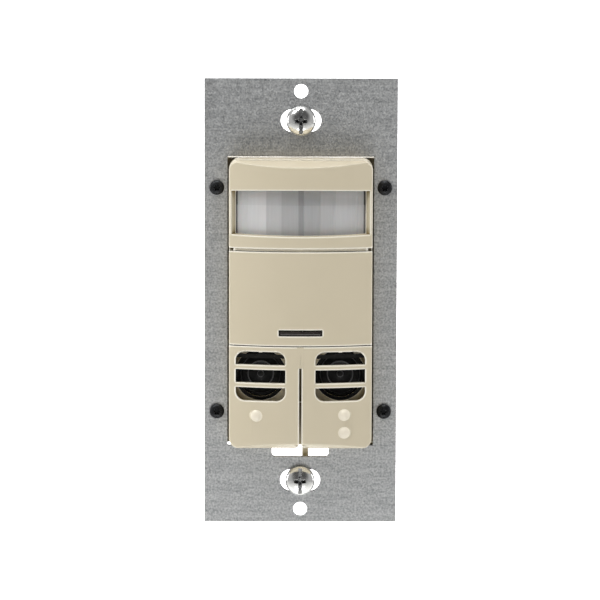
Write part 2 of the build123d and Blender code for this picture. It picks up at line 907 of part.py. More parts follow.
with BuildPart() as indicator_window:
    window_half = indicator_width / 2 - running_gap
    window_rise = indicator_height / 2 - running_gap
    flange_back_inset = face_wall + running_gap + indicator_flange_depth
    bowed_sheet(
        (-window_half, window_half),
        (indicator_set_back, flange_back_inset),
        (indicator_z - window_rise, indicator_z + window_rise),
    )
    bowed_sheet(
        (-window_half - indicator_flange, window_half + indicator_flange),
        (face_wall + running_gap, flange_back_inset),
        (indicator_z - window_rise - indicator_flange, indicator_z + window_rise + indicator_flange),
    )
save(indicator_window, "indicator_window")

# Buttons
dot_places = {"left": [single_dot_z], "right": [upper_dot_z, lower_dot_z]}
plunger_tip_y = board_front_y - tact_height - tact_plunger_rise
slit_half = slit_width / 2
slat_pitch = (grille_size + slat_height) / (slat_count + 1)
dot_sphere_radius = (dot_radius**2 + dot_rise**2) / (2 * dot_rise)


def button_range(side, near, far):
    """Span in x between two distances from the middle, on one side."""
    return (min(side * near, side * far), max(side * near, side * far))


def build_button(name):
    """One press button: bowed shell with skirts, grille, dots, hinge rod and switch post."""
    side = side_signs[name]
    grille_place = grille_places[name]
    with BuildPart() as button:
        add(face_form.part)
        block(
            button_range(side, button_seam / 2, face_half_width),
            (face_front_y, face_skirt_back_y),
            (face_bottom, button_top),
            mode=Mode.INTERSECT,
        )
        for dot_z in dot_places[name]:
            with Locations((side * dot_x, bow_y(dot_x, 0) - dot_rise + dot_sphere_radius, dot_z)):
                Sphere(dot_sphere_radius)
        bowed_block(
            button_range(side, 0, skirt_inside),
            face_wall,
            face_skirt_back_y + cut_overrun,
            (face_bottom + face_skirt, button_top + cut_overrun),
            mode=Mode.SUBTRACT,
        )
        bowed_sheet(
            button_range(side, slit_half, slit_half + slit_lip_width),
            (face_wall / 2, face_wall + slit_lip_depth),
            (face_bottom + face_skirt / 2, slit_top),
        )
        block(
            button_range(side, 0, slit_half),
            (face_front_y, face_skirt_back_y),
            (face_bottom, slit_top),
            mode=Mode.SUBTRACT,
        )
        with BuildSketch(wall_plane(face_skirt_back_y)):
            with BuildLine():
                Polyline(
                    (side * slit_half / 2, face_bottom + 2 * slit_flare),
                    (side * slit_half, face_bottom + 2 * slit_flare),
                    (side * (slit_half + slit_flare), face_bottom),
                    (side * slit_half / 2, face_bottom),
                    close=True,
                )
            make_face()
        extrude(amount=face_skirt_back_y - face_front_y, mode=Mode.SUBTRACT)
        with BuildSketch(wall_plane(face_edge_y + face_wall)):
            with Locations(grille_place):
                RectangleRounded(grille_size, grille_size, grille_corner_radius)
                with GridLocations(0, slat_pitch, 1, slat_count):
                    Rectangle(2 * grille_size, slat_height, mode=Mode.SUBTRACT)
        extrude(amount=face_bow + 2 * face_wall, mode=Mode.SUBTRACT)
        # Hinge rod on its ribs
        rod_near = slit_half + slit_lip_width
        rod_range = button_range(side, rod_near, skirt_inside + loose_gap)
        crosswise((hinge_y, hinge_z), hinge_pin_radius, rod_range)
        for rib_near in (rod_near, grille_x - hinge_rib_width / 2):
            rib_far = rib_near + hinge_rib_width
            block(
                button_range(side, rib_near, rib_far),
                (bow_y(rib_near, face_wall / 2), hinge_y + hinge_pin_radius),
                (hinge_z - hinge_pin_radius, hinge_z + hinge_pin_radius),
            )
        disc(
            (side * dot_x, switch_z),
            post_radius,
            (bow_y(dot_x, face_wall / 2), plunger_tip_y - loose_gap),
        )
    save(button, f"{name}_button")


for button_side in side_signs:
    build_button(button_side)

# Ultrasonic transducers and their rubber sleeves
sleeve_radius = well_radius - running_gap
can_radius = sleeve_radius - sleeve_wall - running_gap
transducer_names = {"left": "ultrasonic_transmitter", "right": "ultrasonic_receiver"}
with BuildPart() as transducer_sleeves:
    for place in grille_places.values():
        disc(place, sleeve_radius, (sleeve_front_y, sleeve_back_y))
        disc(place, can_radius + running_gap, (sleeve_front_y, sleeve_back_y), mode=Mode.SUBTRACT)
save(transducer_sleeves, "transducer_sleeves")

for transducer_side, transducer_name in transducer_names.items():
    with BuildPart() as transducer:
        place = grille_places[transducer_side]
        disc(place, can_radius, (transducer_front_y, board_front_y))
        with BuildSketch(wall_plane(transducer_front_y)):
            with Locations(place):
                Circle(transducer_ring_radius)
                Circle(transducer_ring_radius - transducer_ring_width, mode=Mode.SUBTRACT)
                Circle(transducer_hub_radius)
        extrude(amount=transducer_ring_height)
    save(transducer, transducer_name)

# Sensor board and its screws
with BuildPart() as sensor_board:
    block((-board_half_width, board_half_width), (board_front_y, board_back_y), (board_bottom, board_top))
    for place in board_post_places:
        disc(place, board_screw_radius + running_gap, (board_front_y, board_back_y), mode=Mode.SUBTRACT)
save(sensor_board, "sensor_board")

with BuildPart() as board_screws:
    for place in board_post_places:
        disc(place, board_screw_radius, (board_back_y - board_screw_length, board_back_y))
        disc(place, board_screw_head_radius, (board_back_y, board_back_y + board_screw_head_height))
save(board_screws, "board_screws")

# Infrared sensor on its spacer
pir_place = (0, pir_z)
pir_base_y = board_front_y - pir_spacer_height
pir_can_y = pir_base_y - pir_base_thickness
pir_front_y = pir_can_y - pir_can_height
with BuildPart() as pir_spacer:
    disc(pir_place, pir_base_radius, (pir_base_y, board_front_y))
    disc(pir_place, pir_can_radius - pir_base_thickness, (pir_base_y, board_front_y), mode=Mode.SUBTRACT)
save(pir_spacer, "pir_spacer")

with BuildPart() as pir_sensor_can:
    disc(pir_place, pir_base_radius, (pir_can_y, pir_base_y))
    disc(pir_place, pir_can_radius, (pir_front_y, pir_can_y))
    block(
        (-pir_filter_width / 2 - running_gap, pir_filter_width / 2 + running_gap),
        (pir_front_y, pir_front_y + pir_filter_depth),
        (pir_z - pir_filter_height / 2 - running_gap, pir_z + pir_filter_height / 2 + running_gap),
        mode=Mode.SUBTRACT,
    )
save(pir_sensor_can, "pir_sensor_can")

with BuildPart() as pir_filter:
    block(
        (-pir_filter_width / 2, pir_filter_width / 2),
        (pir_front_y, pir_front_y + pir_filter_depth),
        (pir_z - pir_filter_height / 2, pir_z + pir_filter_height / 2),
    )
save(pir_filter, "pir_filter")

# Indicator lamps, light sensor and the guide that carries light to and from the dark window
with BuildPart() as indicator_leds:
    for side in side_signs.values():
        middle = side * led_spacing / 2 - light_sensor_size / 2
        block(
            (middle - led_width / 2, middle + led_width / 2),
            (board_front_y - led_height, board_front_y),
            (indicator_z - led_depth / 2, indicator_z + led_depth / 2),
        )
save(indicator_leds, "indicator_leds")

with BuildPart() as light_sensor:
    sensor_left = led_spacing / 2 + led_width / 2 - light_sensor_size / 2 + loose_gap
    block(
        (sensor_left, sensor_left + light_sensor_size),
        (board_front_y - led_height, board_front_y),
        (indicator_z - led_depth / 2, indicator_z + led_depth / 2),
    )
save(light_sensor, "light_sensor")

with BuildPart() as light_guide:
    guide_front_y = bow_y(guide_width / 2, flange_back_inset) + guide_front_gap
    block(
        (-guide_width / 2, guide_width / 2),
        (guide_front_y, board_front_y - led_height - loose_gap),
        (indicator_z - guide_height / 2, indicator_z + guide_height / 2),
    )
    block(
        (-guide_width / 2 - guide_flange, guide_width / 2 + guide_flange),
        (collar_front_y - guide_flange_depth, collar_front_y),
        (indicator_z - guide_height / 2 - guide_flange, indicator_z + guide_height / 2 + guide_flange),
    )
save(light_guide, "light_guide")

# Setting trimmers under the cover
trimmer_front_y = board_front_y - trimmer_height
trimmer_pocket_y = trimmer_front_y + trimmer_pocket_depth
trimmer_rotor_y = trimmer_front_y - trimmer_rotor_rise
with BuildPart() as trimmer_bodies:
    for place_x, place_z in trimmer_places:
        block(
            (place_x - trimmer_size / 2, place_x + trimmer_size / 2),
            (trimmer_front_y, board_front_y),
            (place_z - trimmer_size / 2, place_z + trimmer_size / 2),
        )
        disc(
            (place_x, place_z),
            trimmer_rotor_radius + running_gap,
            (trimmer_front_y, trimmer_pocket_y),
            mode=Mode.SUBTRACT,
        )
save(trimmer_bodies, "trimmer_bodies")

for index, (place_x, place_z) in enumerate(trimmer_places):
    with BuildPart() as trimmer_rotor:
        disc((place_x, place_z), trimmer_rotor_radius, (trimmer_rotor_y, trimmer_pocket_y - running_gap))
        block(
            (place_x - trimmer_slot_width / 2, place_x + trimmer_slot_width / 2),
            (trimmer_rotor_y, trimmer_rotor_y + trimmer_slot_depth),
            (place_z - trimmer_rotor_radius, place_z + trimmer_rotor_radius),
            mode=Mode.SUBTRACT,
        )
    save(trimmer_rotor, f"trimmer_rotor_{index + 1}")

# Setting switches under the cover
dip_front_y = board_front_y - dip_depth
dip_floor_y = dip_front_y + dip_slot_depth
dip_rest_z = dip_z - dip_slider_travel / 2
with BuildPart() as dip_switch_body:
    block(
        (-dip_width / 2, dip_width / 2),
        (dip_front_y, board_front_y),
        (dip_z - dip_height / 2, dip_z + dip_height / 2),
    )
    slot_half_width = dip_slider_width / 2 + running_gap
    slot_half_height = (dip_slider_height + dip_slider_travel) / 2 + running_gap
    for place_x in dip_places:
        block(
            (place_x - slot_half_width, place_x + slot_half_width),
            (dip_front_y, dip_floor_y),
            (dip_z - slot_half_height, dip_z + slot_half_height),
            mode=Mode.SUBTRACT,
        )
save(dip_switch_body, "dip_switch_body")

for index, place_x in enumerate(dip_places):
    with BuildPart() as dip_slider:
        block(
            (place_x - dip_slider_width / 2, place_x + dip_slider_width / 2),
            (dip_front_y - dip_slider_rise, dip_floor_y - running_gap),
            (dip_rest_z - dip_slider_height / 2, dip_rest_z + dip_slider_height / 2),
        )
    save(dip_slider, f"dip_slider_{index + 1}")

# Snap switches behind the buttons
tact_front_y = board_front_y - tact_height
tact_floor_y = tact_front_y + tact_plunger_depth + tact_travel + loose_gap
with BuildPart() as tact_switch_bodies:
    for side in side_signs.values():
        block(
            (side * dot_x - tact_size / 2, side * dot_x + tact_size / 2),
            (tact_front_y, board_front_y),
            (switch_z - tact_size / 2, switch_z + tact_size / 2),
        )
        disc(
            (side * dot_x, switch_z),
            tact_plunger_radius + running_gap,
            (tact_front_y, tact_floor_y),
            mode=Mode.SUBTRACT,
        )
save(tact_switch_bodies, "tact_switch_bodies")

for plunger_side, side in side_signs.items():
    with BuildPart() as switch_plunger:
        plunger_range = (plunger_tip_y, tact_front_y + tact_plunger_depth)
        disc((side * dot_x, switch_z), tact_plunger_radius, plunger_range)
    save(switch_plunger, f"{plunger_side}_switch_plunger")

with BuildPart() as microcontroller:
    block(
        (-controller_size / 2, controller_size / 2),
        (board_back_y, board_back_y + controller_thickness),
        (controller_z - controller_size / 2, controller_z + controller_size / 2),
    )
save(microcontroller, "microcontroller")

# Plug-in link between the two boards
link_places = [(index - (link_pin_count - 1) / 2) * link_pitch for index in range(link_pin_count)]
link_half_width = link_pin_count * link_pitch / 2
link_heights = (link_z - link_body_height / 2, link_z + link_body_height / 2)
link_tip_y = board_back_y + link_socket_depth - link_pin_free_length
with BuildPart() as link_socket:
    block((-link_half_width, link_half_width), (board_back_y, board_back_y + link_socket_depth), link_heights)
    for place_x in link_places:
        block(
            (place_x - link_pin_width / 2 - running_gap, place_x + link_pin_width / 2 + running_gap),
            (link_tip_y - open_gap, board_back_y + link_socket_depth),
            (link_z - link_pin_width / 2 - running_gap, link_z + link_pin_width / 2 + running_gap),
            mode=Mode.SUBTRACT,
        )
save(link_socket, "link_socket")

with BuildPart() as link_header:
    block((-link_half_width, link_half_width), (power_board_y - link_body_depth, power_board_y), link_heights)
    for place_x in link_places:
        block(
            (place_x - link_pin_width / 2 - running_gap, place_x + link_pin_width / 2 + running_gap),
            (power_board_y - link_body_depth, power_board_y),
            (link_z - link_pin_width / 2 - running_gap, link_z + link_pin_width / 2 + running_gap),
            mode=Mode.SUBTRACT,
        )
save(link_header, "link_header")

with BuildPart() as link_pins:
    for place_x in link_places:
        block(
            (place_x - link_pin_width / 2, place_x + link_pin_width / 2),
            (link_tip_y, power_board_y),
            (link_z - link_pin_width / 2, link_z + link_pin_width / 2),
        )
save(link_pins, "link_pins")

# Power board and its screws
power_post_places = [
    (side * power_post_x, height)
    for side in side_signs.values()
    for height in (power_post_bottom_z, power_post_top_z)
]
with BuildPart() as power_board:
    block(
        (-power_board_half_width, power_board_half_width),
        (power_board_y, power_board_back_y),
        (power_board_bottom, power_board_top),
    )
    for place in power_post_places:
        disc(place, power_screw_radius + running_gap, (power_board_y, power_board_back_y), mode=Mode.SUBTRACT)
save(power_board, "power_board")

with BuildPart() as power_board_screws:
    for place in power_post_places:
        disc(place, power_screw_radius, (power_board_y, power_board_y + power_screw_length))
        disc(place, power_screw_head_radius, (power_board_y - power_screw_head_height, power_board_y))
save(power_board_screws, "power_board_screws")

# Two relays
relay_places = [side * relay_x for side in side_signs.values()]
relay_half_width = relay_width / 2
relay_front_y = power_board_y - relay_depth
relay_base_y = power_board_y - relay_base_thickness
yoke_back_y = relay_base_y - yoke_base_gap
yoke_front_y = yoke_back_y - yoke_thickness
yoke_bottom = relay_z - yoke_height / 2
yoke_top = relay_z + yoke_height / 2
core_y = yoke_front_y - yoke_gap - bobbin_radius
armature_bottom = yoke_top + running_gap
pole_z = armature_bottom - armature_gap
armature_hinge_y = (yoke_front_y + yoke_back_y) / 2
armature_front_y = armature_hinge_y - armature_length
moving_contact_y = armature_front_y - armature_leaf_reach
with BuildPart() as relay_cases:
    for place_x in relay_places:
        block(
            (place_x - relay_half_width, place_x + relay_half_width),
            (relay_front_y, power_board_y),
            (relay_z - relay_height / 2, relay_z + relay_height / 2),
        )
        block(
            (place_x - relay_half_width + relay_wall, place_x + relay_half_width - relay_wall),
            (relay_front_y + relay_wall, power_board_y + loose_gap),
            (relay_z - relay_height / 2 + relay_wall, relay_z + relay_height / 2 - relay_wall),
            mode=Mode.SUBTRACT,
        )
save(relay_cases, "relay_cases")

base_half_width = relay_half_width - relay_wall - running_gap
base_half_height = relay_height / 2 - relay_wall - running_gap
with BuildPart() as relay_bases:
    for place_x in relay_places:
        block(
            (place_x - base_half_width, place_x + base_half_width),
            (relay_base_y, power_board_y),
            (relay_z - base_half_height, relay_z + base_half_height),
        )
        block(
            (place_x - yoke_width / 4, place_x + yoke_width / 4),
            (yoke_back_y, relay_base_y),
            (yoke_bottom, yoke_top),
        )
save(relay_bases, "relay_bases")

with BuildPart() as relay_yokes:
    for place_x in relay_places:
        yoke_span = (place_x - yoke_width / 2, place_x + yoke_width / 2)
        block(yoke_span, (yoke_front_y, yoke_back_y), (yoke_bottom, yoke_top))
        block(yoke_span, (core_y - bobbin_radius, yoke_back_y), (yoke_bottom, yoke_bottom + yoke_thickness))
        upright((place_x, core_y), core_radius, (yoke_bottom, pole_z))
save(relay_yokes, "relay_yokes")

with BuildPart() as relay_coils:
    coil_bottom = yoke_bottom + yoke_thickness + running_gap
    coil_top = pole_z - open_gap
    for place_x in relay_places:
        for flange_bottom in (coil_bottom, coil_top - bobbin_flange):
            upright((place_x, core_y), bobbin_radius, (flange_bottom, flange_bottom + bobbin_flange))
        upright((place_x, core_y), coil_radius, (coil_bottom, coil_top))
        upright((place_x, core_y), core_radius + running_gap, (coil_bottom, coil_top), mode=Mode.SUBTRACT)
save(relay_coils, "relay_coils")

fixed_contact_top = armature_bottom - contact_height - contact_rest_gap
with BuildPart() as relay_contacts:
    for place_x in relay_places:
        blade_outer = place_x + relay_half_width - relay_wall - running_gap
        blade_z = (fixed_contact_top - contact_blade_height, fixed_contact_top)
        tip_front_y = moving_contact_y - contact_radius
        tip_back_y = moving_contact_y + contact_radius
        block((blade_outer - contact_blade, blade_outer), (tip_front_y, relay_base_y), blade_z)
        block((place_x - contact_radius, blade_outer), (tip_front_y, tip_back_y), blade_z)
save(relay_contacts, "relay_contacts")

for relay_side, side in side_signs.items():
    with BuildPart() as relay_armature:
        place_x = side * relay_x
        block(
            (place_x - yoke_width / 2, place_x + yoke_width / 2),
            (armature_front_y, armature_hinge_y + armature_tail),
            (armature_bottom, armature_bottom + armature_thickness),
        )
        block(
            (place_x - contact_radius, place_x + contact_radius),
            (moving_contact_y - contact_radius, armature_hinge_y),
            (armature_bottom + armature_thickness, armature_bottom + armature_thickness + armature_leaf),
        )
        upright(
            (place_x, moving_contact_y),
            contact_radius,
            (armature_bottom - contact_height, armature_bottom + armature_thickness),
        )
    save(relay_armature, f"{relay_side}_relay_armature")

# Supply parts
with BuildPart() as film_capacitor:
    block(
        (film_x - film_width / 2, film_x + film_width / 2),
        (power_board_y - film_depth, power_board_y),
        (film_z - film_height / 2, film_z + film_height / 2),
    )
save(film_capacitor, "film_capacitor")

with BuildPart() as bulk_capacitor:
    disc((bulk_x, bulk_z), bulk_radius, (power_board_y - bulk_length, power_board_y))
save(bulk_capacitor, "bulk_capacitor")

with BuildPart() as varistor:
    varistor_y = power_board_y - lead_length - varistor_radius
    upright(
        (varistor_x, varistor_y),
        varistor_radius,
        (varistor_z - varistor_thickness / 2, varistor_z + varistor_thickness / 2),
    )
    for side in side_signs.values():
        disc((varistor_x + side * varistor_radius / 2, varistor_z), lead_radius, (varistor_y, power_board_y))
save(varistor, "varistor")

with BuildPart() as bridge_rectifier:
    block(
        (rectifier_x - rectifier_width / 2, rectifier_x + rectifier_width / 2),
        (power_board_y - rectifier_depth, power_board_y),
        (rectifier_z - rectifier_height / 2, rectifier_z + rectifier_height / 2),
    )
save(bridge_rectifier, "bridge_rectifier")

# Rear housing
with BuildPart() as rear_housing:
    with BuildSketch(wall_plane(rear_back_y)):
        with Locations((0, housing_centre_z)):
            RectangleRounded(housing_width, housing_height, rear_corner_radius)
    extrude(amount=rear_back_y - flange_thickness)
    fillet(rear_housing.faces().sort_by(Axis.Y)[-1].edges(), rear_edge_rounding)
    block(
        (-housing_width / 2 + rear_wall, housing_width / 2 - rear_wall),
        (flange_thickness, rear_inside_y),
        (housing_bottom + rear_wall, housing_top - rear_wall),
        mode=Mode.SUBTRACT,
    )
    for place_x, place_z in housing_screw_places:
        disc((place_x, place_z), boss_radius, (flange_thickness, boss_back_y))
        disc(
            (place_x, place_z),
            housing_thread_radius + running_gap,
            (flange_thickness, strap_front_y + housing_screw_length + open_gap),
            mode=Mode.SUBTRACT,
        )
    for place in power_post_places:
        disc(place, power_post_radius, (power_board_back_y, rear_inside_y))
        disc(
            place,
            power_screw_radius + running_gap,
            (power_board_back_y, power_board_y + power_screw_length + loose_gap),
            mode=Mode.SUBTRACT,
        )
    with BuildSketch(wall_plane(rear_back_y)):
        with Locations((0, outlet_z)):
            RectangleRounded(outlet_width, outlet_height, rear_corner_radius)
    extrude(amount=rear_wall, mode=Mode.SUBTRACT)
save(rear_housing, "rear_housing")

with BuildPart() as lead_grommet:
    body_width = outlet_width - 2 * running_gap
    body_height = outlet_height - 2 * running_gap
    with BuildSketch(wall_plane(rear_back_y)):
        with Locations((0, outlet_z)):
            RectangleRounded(body_width, body_height, rear_corner_radius - running_gap)
    extrude(amount=rear_wall)
    with BuildSketch(wall_plane(rear_back_y + grommet_flange_thickness)):
        with Locations((0, outlet_z)):
            flange_width = body_width + 2 * grommet_flange
            flange_height = body_height + 2 * grommet_flange
            RectangleRounded(flange_width, flange_height, rear_corner_radius)
    extrude(amount=grommet_flange_thickness)
    with BuildSketch(wall_plane(rear_back_y + grommet_flange_thickness)):
        with Locations((0, outlet_z)):
            lead_width = body_width - 2 * grommet_wall
            lead_height = body_height - 2 * grommet_wall
            RectangleRounded(lead_width, lead_height, rear_corner_radius - grommet_wall)
    extrude(amount=grommet_flange_thickness + rear_wall, mode=Mode.SUBTRACT)
save(lead_grommet, "lead_grommet")
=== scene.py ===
import bmesh
import bpy
import math
from mathutils import Matrix, Vector


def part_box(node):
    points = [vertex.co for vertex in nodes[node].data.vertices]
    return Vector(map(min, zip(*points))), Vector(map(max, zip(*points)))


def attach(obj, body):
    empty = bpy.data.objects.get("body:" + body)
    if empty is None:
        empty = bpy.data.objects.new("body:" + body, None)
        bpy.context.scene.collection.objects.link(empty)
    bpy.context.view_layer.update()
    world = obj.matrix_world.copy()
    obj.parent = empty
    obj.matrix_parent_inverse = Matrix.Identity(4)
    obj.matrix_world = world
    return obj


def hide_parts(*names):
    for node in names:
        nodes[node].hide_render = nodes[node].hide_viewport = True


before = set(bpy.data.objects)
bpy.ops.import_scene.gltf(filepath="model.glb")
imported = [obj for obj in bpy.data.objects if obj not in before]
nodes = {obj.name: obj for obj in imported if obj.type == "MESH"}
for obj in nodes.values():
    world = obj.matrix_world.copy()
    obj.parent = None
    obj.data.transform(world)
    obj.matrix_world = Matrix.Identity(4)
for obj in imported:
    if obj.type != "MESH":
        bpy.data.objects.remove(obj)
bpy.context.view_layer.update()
scene = bpy.context.scene
MM = 0.001


# The strap is stamped from 1.3 mm steel sheet and zinc plated. The plating is a dull grey with a fine crystal
# grain and faint rolling lines, and the punch leaves softly rounded edges round its slots, holes and opening.
def linear(hex_colour):
    """Turn an sRGB hex colour into the linear colour a shader takes."""
    channels = [int(hex_colour[start:start + 2], 16) / 255 for start in (1, 3, 5)]
    straight = [c / 12.92 if c <= 0.04045 else ((c + 0.055) / 1.055) ** 2.4 for c in channels]
    return (*straight, 1)


def add_node(material, kind, settings=(), links=()):
    """Add one shader node, set its values and link its inputs. Sockets go by name or number."""
    tree = material.node_tree
    node = tree.nodes.new(kind)
    for name, value in dict(settings).items():
        if isinstance(name, int) or name in node.inputs:
            node.inputs[name].default_value = value
        else:
            setattr(node, name, value)
    for name, output in dict(links).items():
        tree.links.new(output, node.inputs[name])
    return node


def start_material(name, colour, roughness, metallic=0.0, ior=None):
    """Make a material with a plain surface shader and give back both."""
    material = bpy.data.materials.new(name)
    material.use_nodes = True
    shader = material.node_tree.nodes["Principled BSDF"]
    shader.inputs["Base Color"].default_value = linear(colour)
    shader.inputs["Roughness"].default_value = roughness
    shader.inputs["Metallic"].default_value = metallic
    if ior:
        shader.inputs["IOR"].default_value = ior
    return material, shader


def grain(material, size_mm, detail=4.0, stretch=(1, 1, 1)):
    """Noise whose lumps are about this size on the object, as one output."""
    place = add_node(material, "ShaderNodeTexCoord").outputs["Object"]
    scaled = add_node(material, "ShaderNodeMapping", {"Scale": stretch}, {"Vector": place})
    noise = add_node(
        material,
        "ShaderNodeTexNoise",
        {"Scale": 1 / (size_mm * MM), "Detail": detail},
        {"Vector": scaled.outputs["Vector"]},
    )
    return noise.outputs["Fac"]


def spread(material, value, low, high, inner=(0.3, 0.7)):
    """Map a noise output to a range of numbers."""
    node = add_node(
        material,
        "ShaderNodeMapRange",
        {"From Min": inner[0], "From Max": inner[1], "To Min": low, "To Max": high},
        {"Value": value},
    )
    return node.outputs["Result"]


def blend_colours(material, value, colours, places=(0.3, 0.7)):
    """Run through a few colours as an output rises past the places given."""
    ramp = add_node(material, "ShaderNodeValToRGB", links={"Fac": value})
    stops = ramp.color_ramp.elements
    while len(stops) < len(colours):
        stops.new(1.0)
    for stop, place, colour in zip(stops, places, colours):
        stop.position = place
        stop.color = linear(colour)
    return ramp.outputs["Color"]


def link(material, shader, socket, output):
    """Feed one of the surface shader's sockets."""
    material.node_tree.links.new(output, shader.inputs[socket])


def set_bump(material, shader, value, depth_mm, rounded=None):
    """Raise and sink the surface by a noise output, over rounded edges if they are given."""
    links = {"Height": value, "Normal": rounded} if rounded else {"Height": value}
    bump = add_node(material, "ShaderNodeBump", {"Distance": depth_mm * MM, "Strength": 1.0}, links)
    link(material, shader, "Normal", bump.outputs["Normal"])


def dress(material, *names):
    """Give CAD nodes their finish."""
    for name in names:
        for material_slot in nodes[name].material_slots:
            material_slot.material = material


def soften(width_mm, *names):
    """Round the sharp edges of CAD nodes with modifiers, as a mould or a punch leaves them."""
    for name in names:
        weld = nodes[name].modifiers.new("weld", "WELD")
        weld.merge_threshold = 0.001 * MM
        bevel = nodes[name].modifiers.new("soft_edges", "BEVEL")
        bevel.width = width_mm * MM
        bevel.segments = 2
        bevel.limit_method = "ANGLE"
        bevel.angle_limit = math.radians(32)
        bevel.use_clamp_overlap = True
        nodes[name].modifiers.new("even_normals", "WEIGHTED_NORMAL")


def place_piece(name, mesh, material, body, slot, *replaced):
    """Add a finished mesh to the scene as a piece that rides on a body."""
    piece = bpy.data.objects.new(name, mesh)
    scene.collection.objects.link(piece)
    mesh.materials.clear()
    mesh.materials.append(material)
    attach(piece, body)
    if replaced:
        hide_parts(*replaced)
    return piece


def arc(centre, radius, start, end, steps=12):
    """Points along an arc in the wall plane, in mm, between two angles in degrees."""
    turns = [math.radians(start + (end - start) * step / steps) for step in range(steps + 1)]
    return [(centre[0] + radius * math.cos(turn), centre[1] + radius * math.sin(turn)) for turn in turns]


def circle(centre, radius, points):
    """Evenly spaced points round a whole circle in the wall plane, in mm."""
    return arc(centre, radius, 0, 360 - 360 / points, points - 1)


def stamping(name, outlines, front_y, thickness, edge):
    """Cut flat sheet to closed outlines in the wall plane, the first one outside, with rounded edges."""
    curve = bpy.data.curves.new(name, "CURVE")
    curve.dimensions = "2D"
    curve.fill_mode = "BOTH"
    curve.extrude = (thickness / 2 - edge) * MM
    curve.bevel_depth = edge * MM
    curve.bevel_resolution = 2
    curve.offset = -edge * MM
    for outline in outlines:
        spline = curve.splines.new("POLY")
        spline.points.add(len(outline) - 1)
        for point, (x, z) in zip(spline.points, outline):
            point.co = (x * MM, z * MM, 0, 1)
        spline.use_cyclic_u = True
    holder = bpy.data.objects.new(name, curve)
    scene.collection.objects.link(holder)
    holder.rotation_euler = (math.radians(90), 0, 0)
    holder.location = (0, (front_y + thickness / 2) * MM, 0)
    bpy.context.view_layer.update()
    evaluated = holder.evaluated_get(bpy.context.evaluated_depsgraph_get())
    mesh = bpy.data.meshes.new_from_object(evaluated)
    mesh.transform(holder.matrix_world)
    bpy.data.objects.remove(holder)
    mesh_edit = bmesh.new()
    mesh_edit.from_mesh(mesh)
    bmesh.ops.remove_doubles(mesh_edit, verts=mesh_edit.verts, dist=0.001 * MM)
    bmesh.ops.recalc_face_normals(mesh_edit, faces=mesh_edit.faces)
    mesh_edit.to_mesh(mesh)
    mesh_edit.free()
    mesh.shade_smooth()
    return mesh


strap_low, strap_high = (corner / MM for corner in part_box("mounting_strap"))
strap_edge = 0.12
opening_half_width = 16.8
opening_half_height = 33.45
notch_half_width = 6.55
notch_bottom = -36.1
notch_corner = 0.8
slot_height = 5.2
slot_length = 9.3
plate_hole_radius = 1.6
box_screw_z = 41.67
plate_hole_z = 48.42
housing_hole_radius = 1.2
housing_screw_x = 19.27
housing_screw_heights = (-25.5, 26.3)

strap_outlines = [
    [
        (strap_low.x, strap_low.z),
        (strap_high.x, strap_low.z),
        (strap_high.x, strap_high.z),
        (strap_low.x, strap_high.z),
    ],
    [
        (-opening_half_width, opening_half_height),
        (-opening_half_width, -opening_half_height),
        (-notch_half_width, -opening_half_height),
        *arc((-notch_half_width + notch_corner, notch_bottom + notch_corner), notch_corner, 180, 270),
        *arc((notch_half_width - notch_corner, notch_bottom + notch_corner), notch_corner, 270, 360),
        (notch_half_width, -opening_half_height),
        (opening_half_width, -opening_half_height),
        (opening_half_width, opening_half_height),
    ],
]
slot_reach = slot_length / 2 - slot_height / 2
for side in (-1, 1):
    slot_z = side * box_screw_z
    strap_outlines.append(
        arc((slot_reach, slot_z), slot_height / 2, -90, 90, 24)
        + arc((-slot_reach, slot_z), slot_height / 2, 90, 270, 24)
    )
    strap_outlines.append(circle((0, side * plate_hole_z), plate_hole_radius, 24))
    for height in housing_screw_heights:
        strap_outlines.append(circle((side * housing_screw_x, height), housing_hole_radius, 24))

zinc, zinc_shader = start_material("dull_zinc_plating", "#B4B6B6", 0.5, 1.0)
zinc_grain = grain(zinc, 0.45, 3.0)
zinc_rolling = grain(zinc, 0.5, 2.0, (0.1, 1, 1))
zinc_mixed = add_node(
    zinc, "ShaderNodeMix", {"data_type": "FLOAT", "Factor": 0.25}, {"A": zinc_grain, "B": zinc_rolling}
).outputs["Result"]
link(zinc, zinc_shader, "Base Color", blend_colours(zinc, zinc_mixed, ("#9C9EA0", "#D2D3D3"), (0.34, 0.62)))
link(zinc, zinc_shader, "Roughness", spread(zinc, grain(zinc, 0.8), 0.42, 0.6))
set_bump(zinc, zinc_shader, zinc_grain, 0.012)

strap_mesh = stamping(
    "stamped_strap", strap_outlines, strap_low.y, strap_high.y - strap_low.y, strap_edge
)
strap = place_piece(
    "stamped_strap", strap_mesh, zinc, "switch_housing", "zinc_plated_steel", "mounting_strap"
)
strap.modifiers.new("even_normals", "WEIGHTED_NORMAL")


# Box screws: 6-32 machine screws of bright zinc-plated steel, rolled thread, domed head with a slot that runs
# right across and a cross recess in the middle. The bright plating mirrors the room in its dome and recess.
def ring_mesh(name, rings, centre_first, centre_last):
    """Join rings of points into a closed skin, with a middle point at each end."""
    mesh_edit = bmesh.new()
    first = mesh_edit.verts.new(centre_first)
    rows = [[mesh_edit.verts.new(point) for point in ring] for ring in rings]
    last = mesh_edit.verts.new(centre_last)
    count = len(rows[0])
    for index in range(count):
        following = (index + 1) % count
        mesh_edit.faces.new((first, rows[0][index], rows[0][following]))
        mesh_edit.faces.new((last, rows[-1][following], rows[-1][index]))
        for near, far in zip(rows, rows[1:]):
            mesh_edit.faces.new((near[index], far[index], far[following], near[following]))
    bmesh.ops.recalc_face_normals(mesh_edit, faces=mesh_edit.faces)
    mesh = bpy.data.meshes.new(name)
    mesh_edit.to_mesh(mesh)
    mesh_edit.free()
    mesh.shade_smooth()
    return mesh


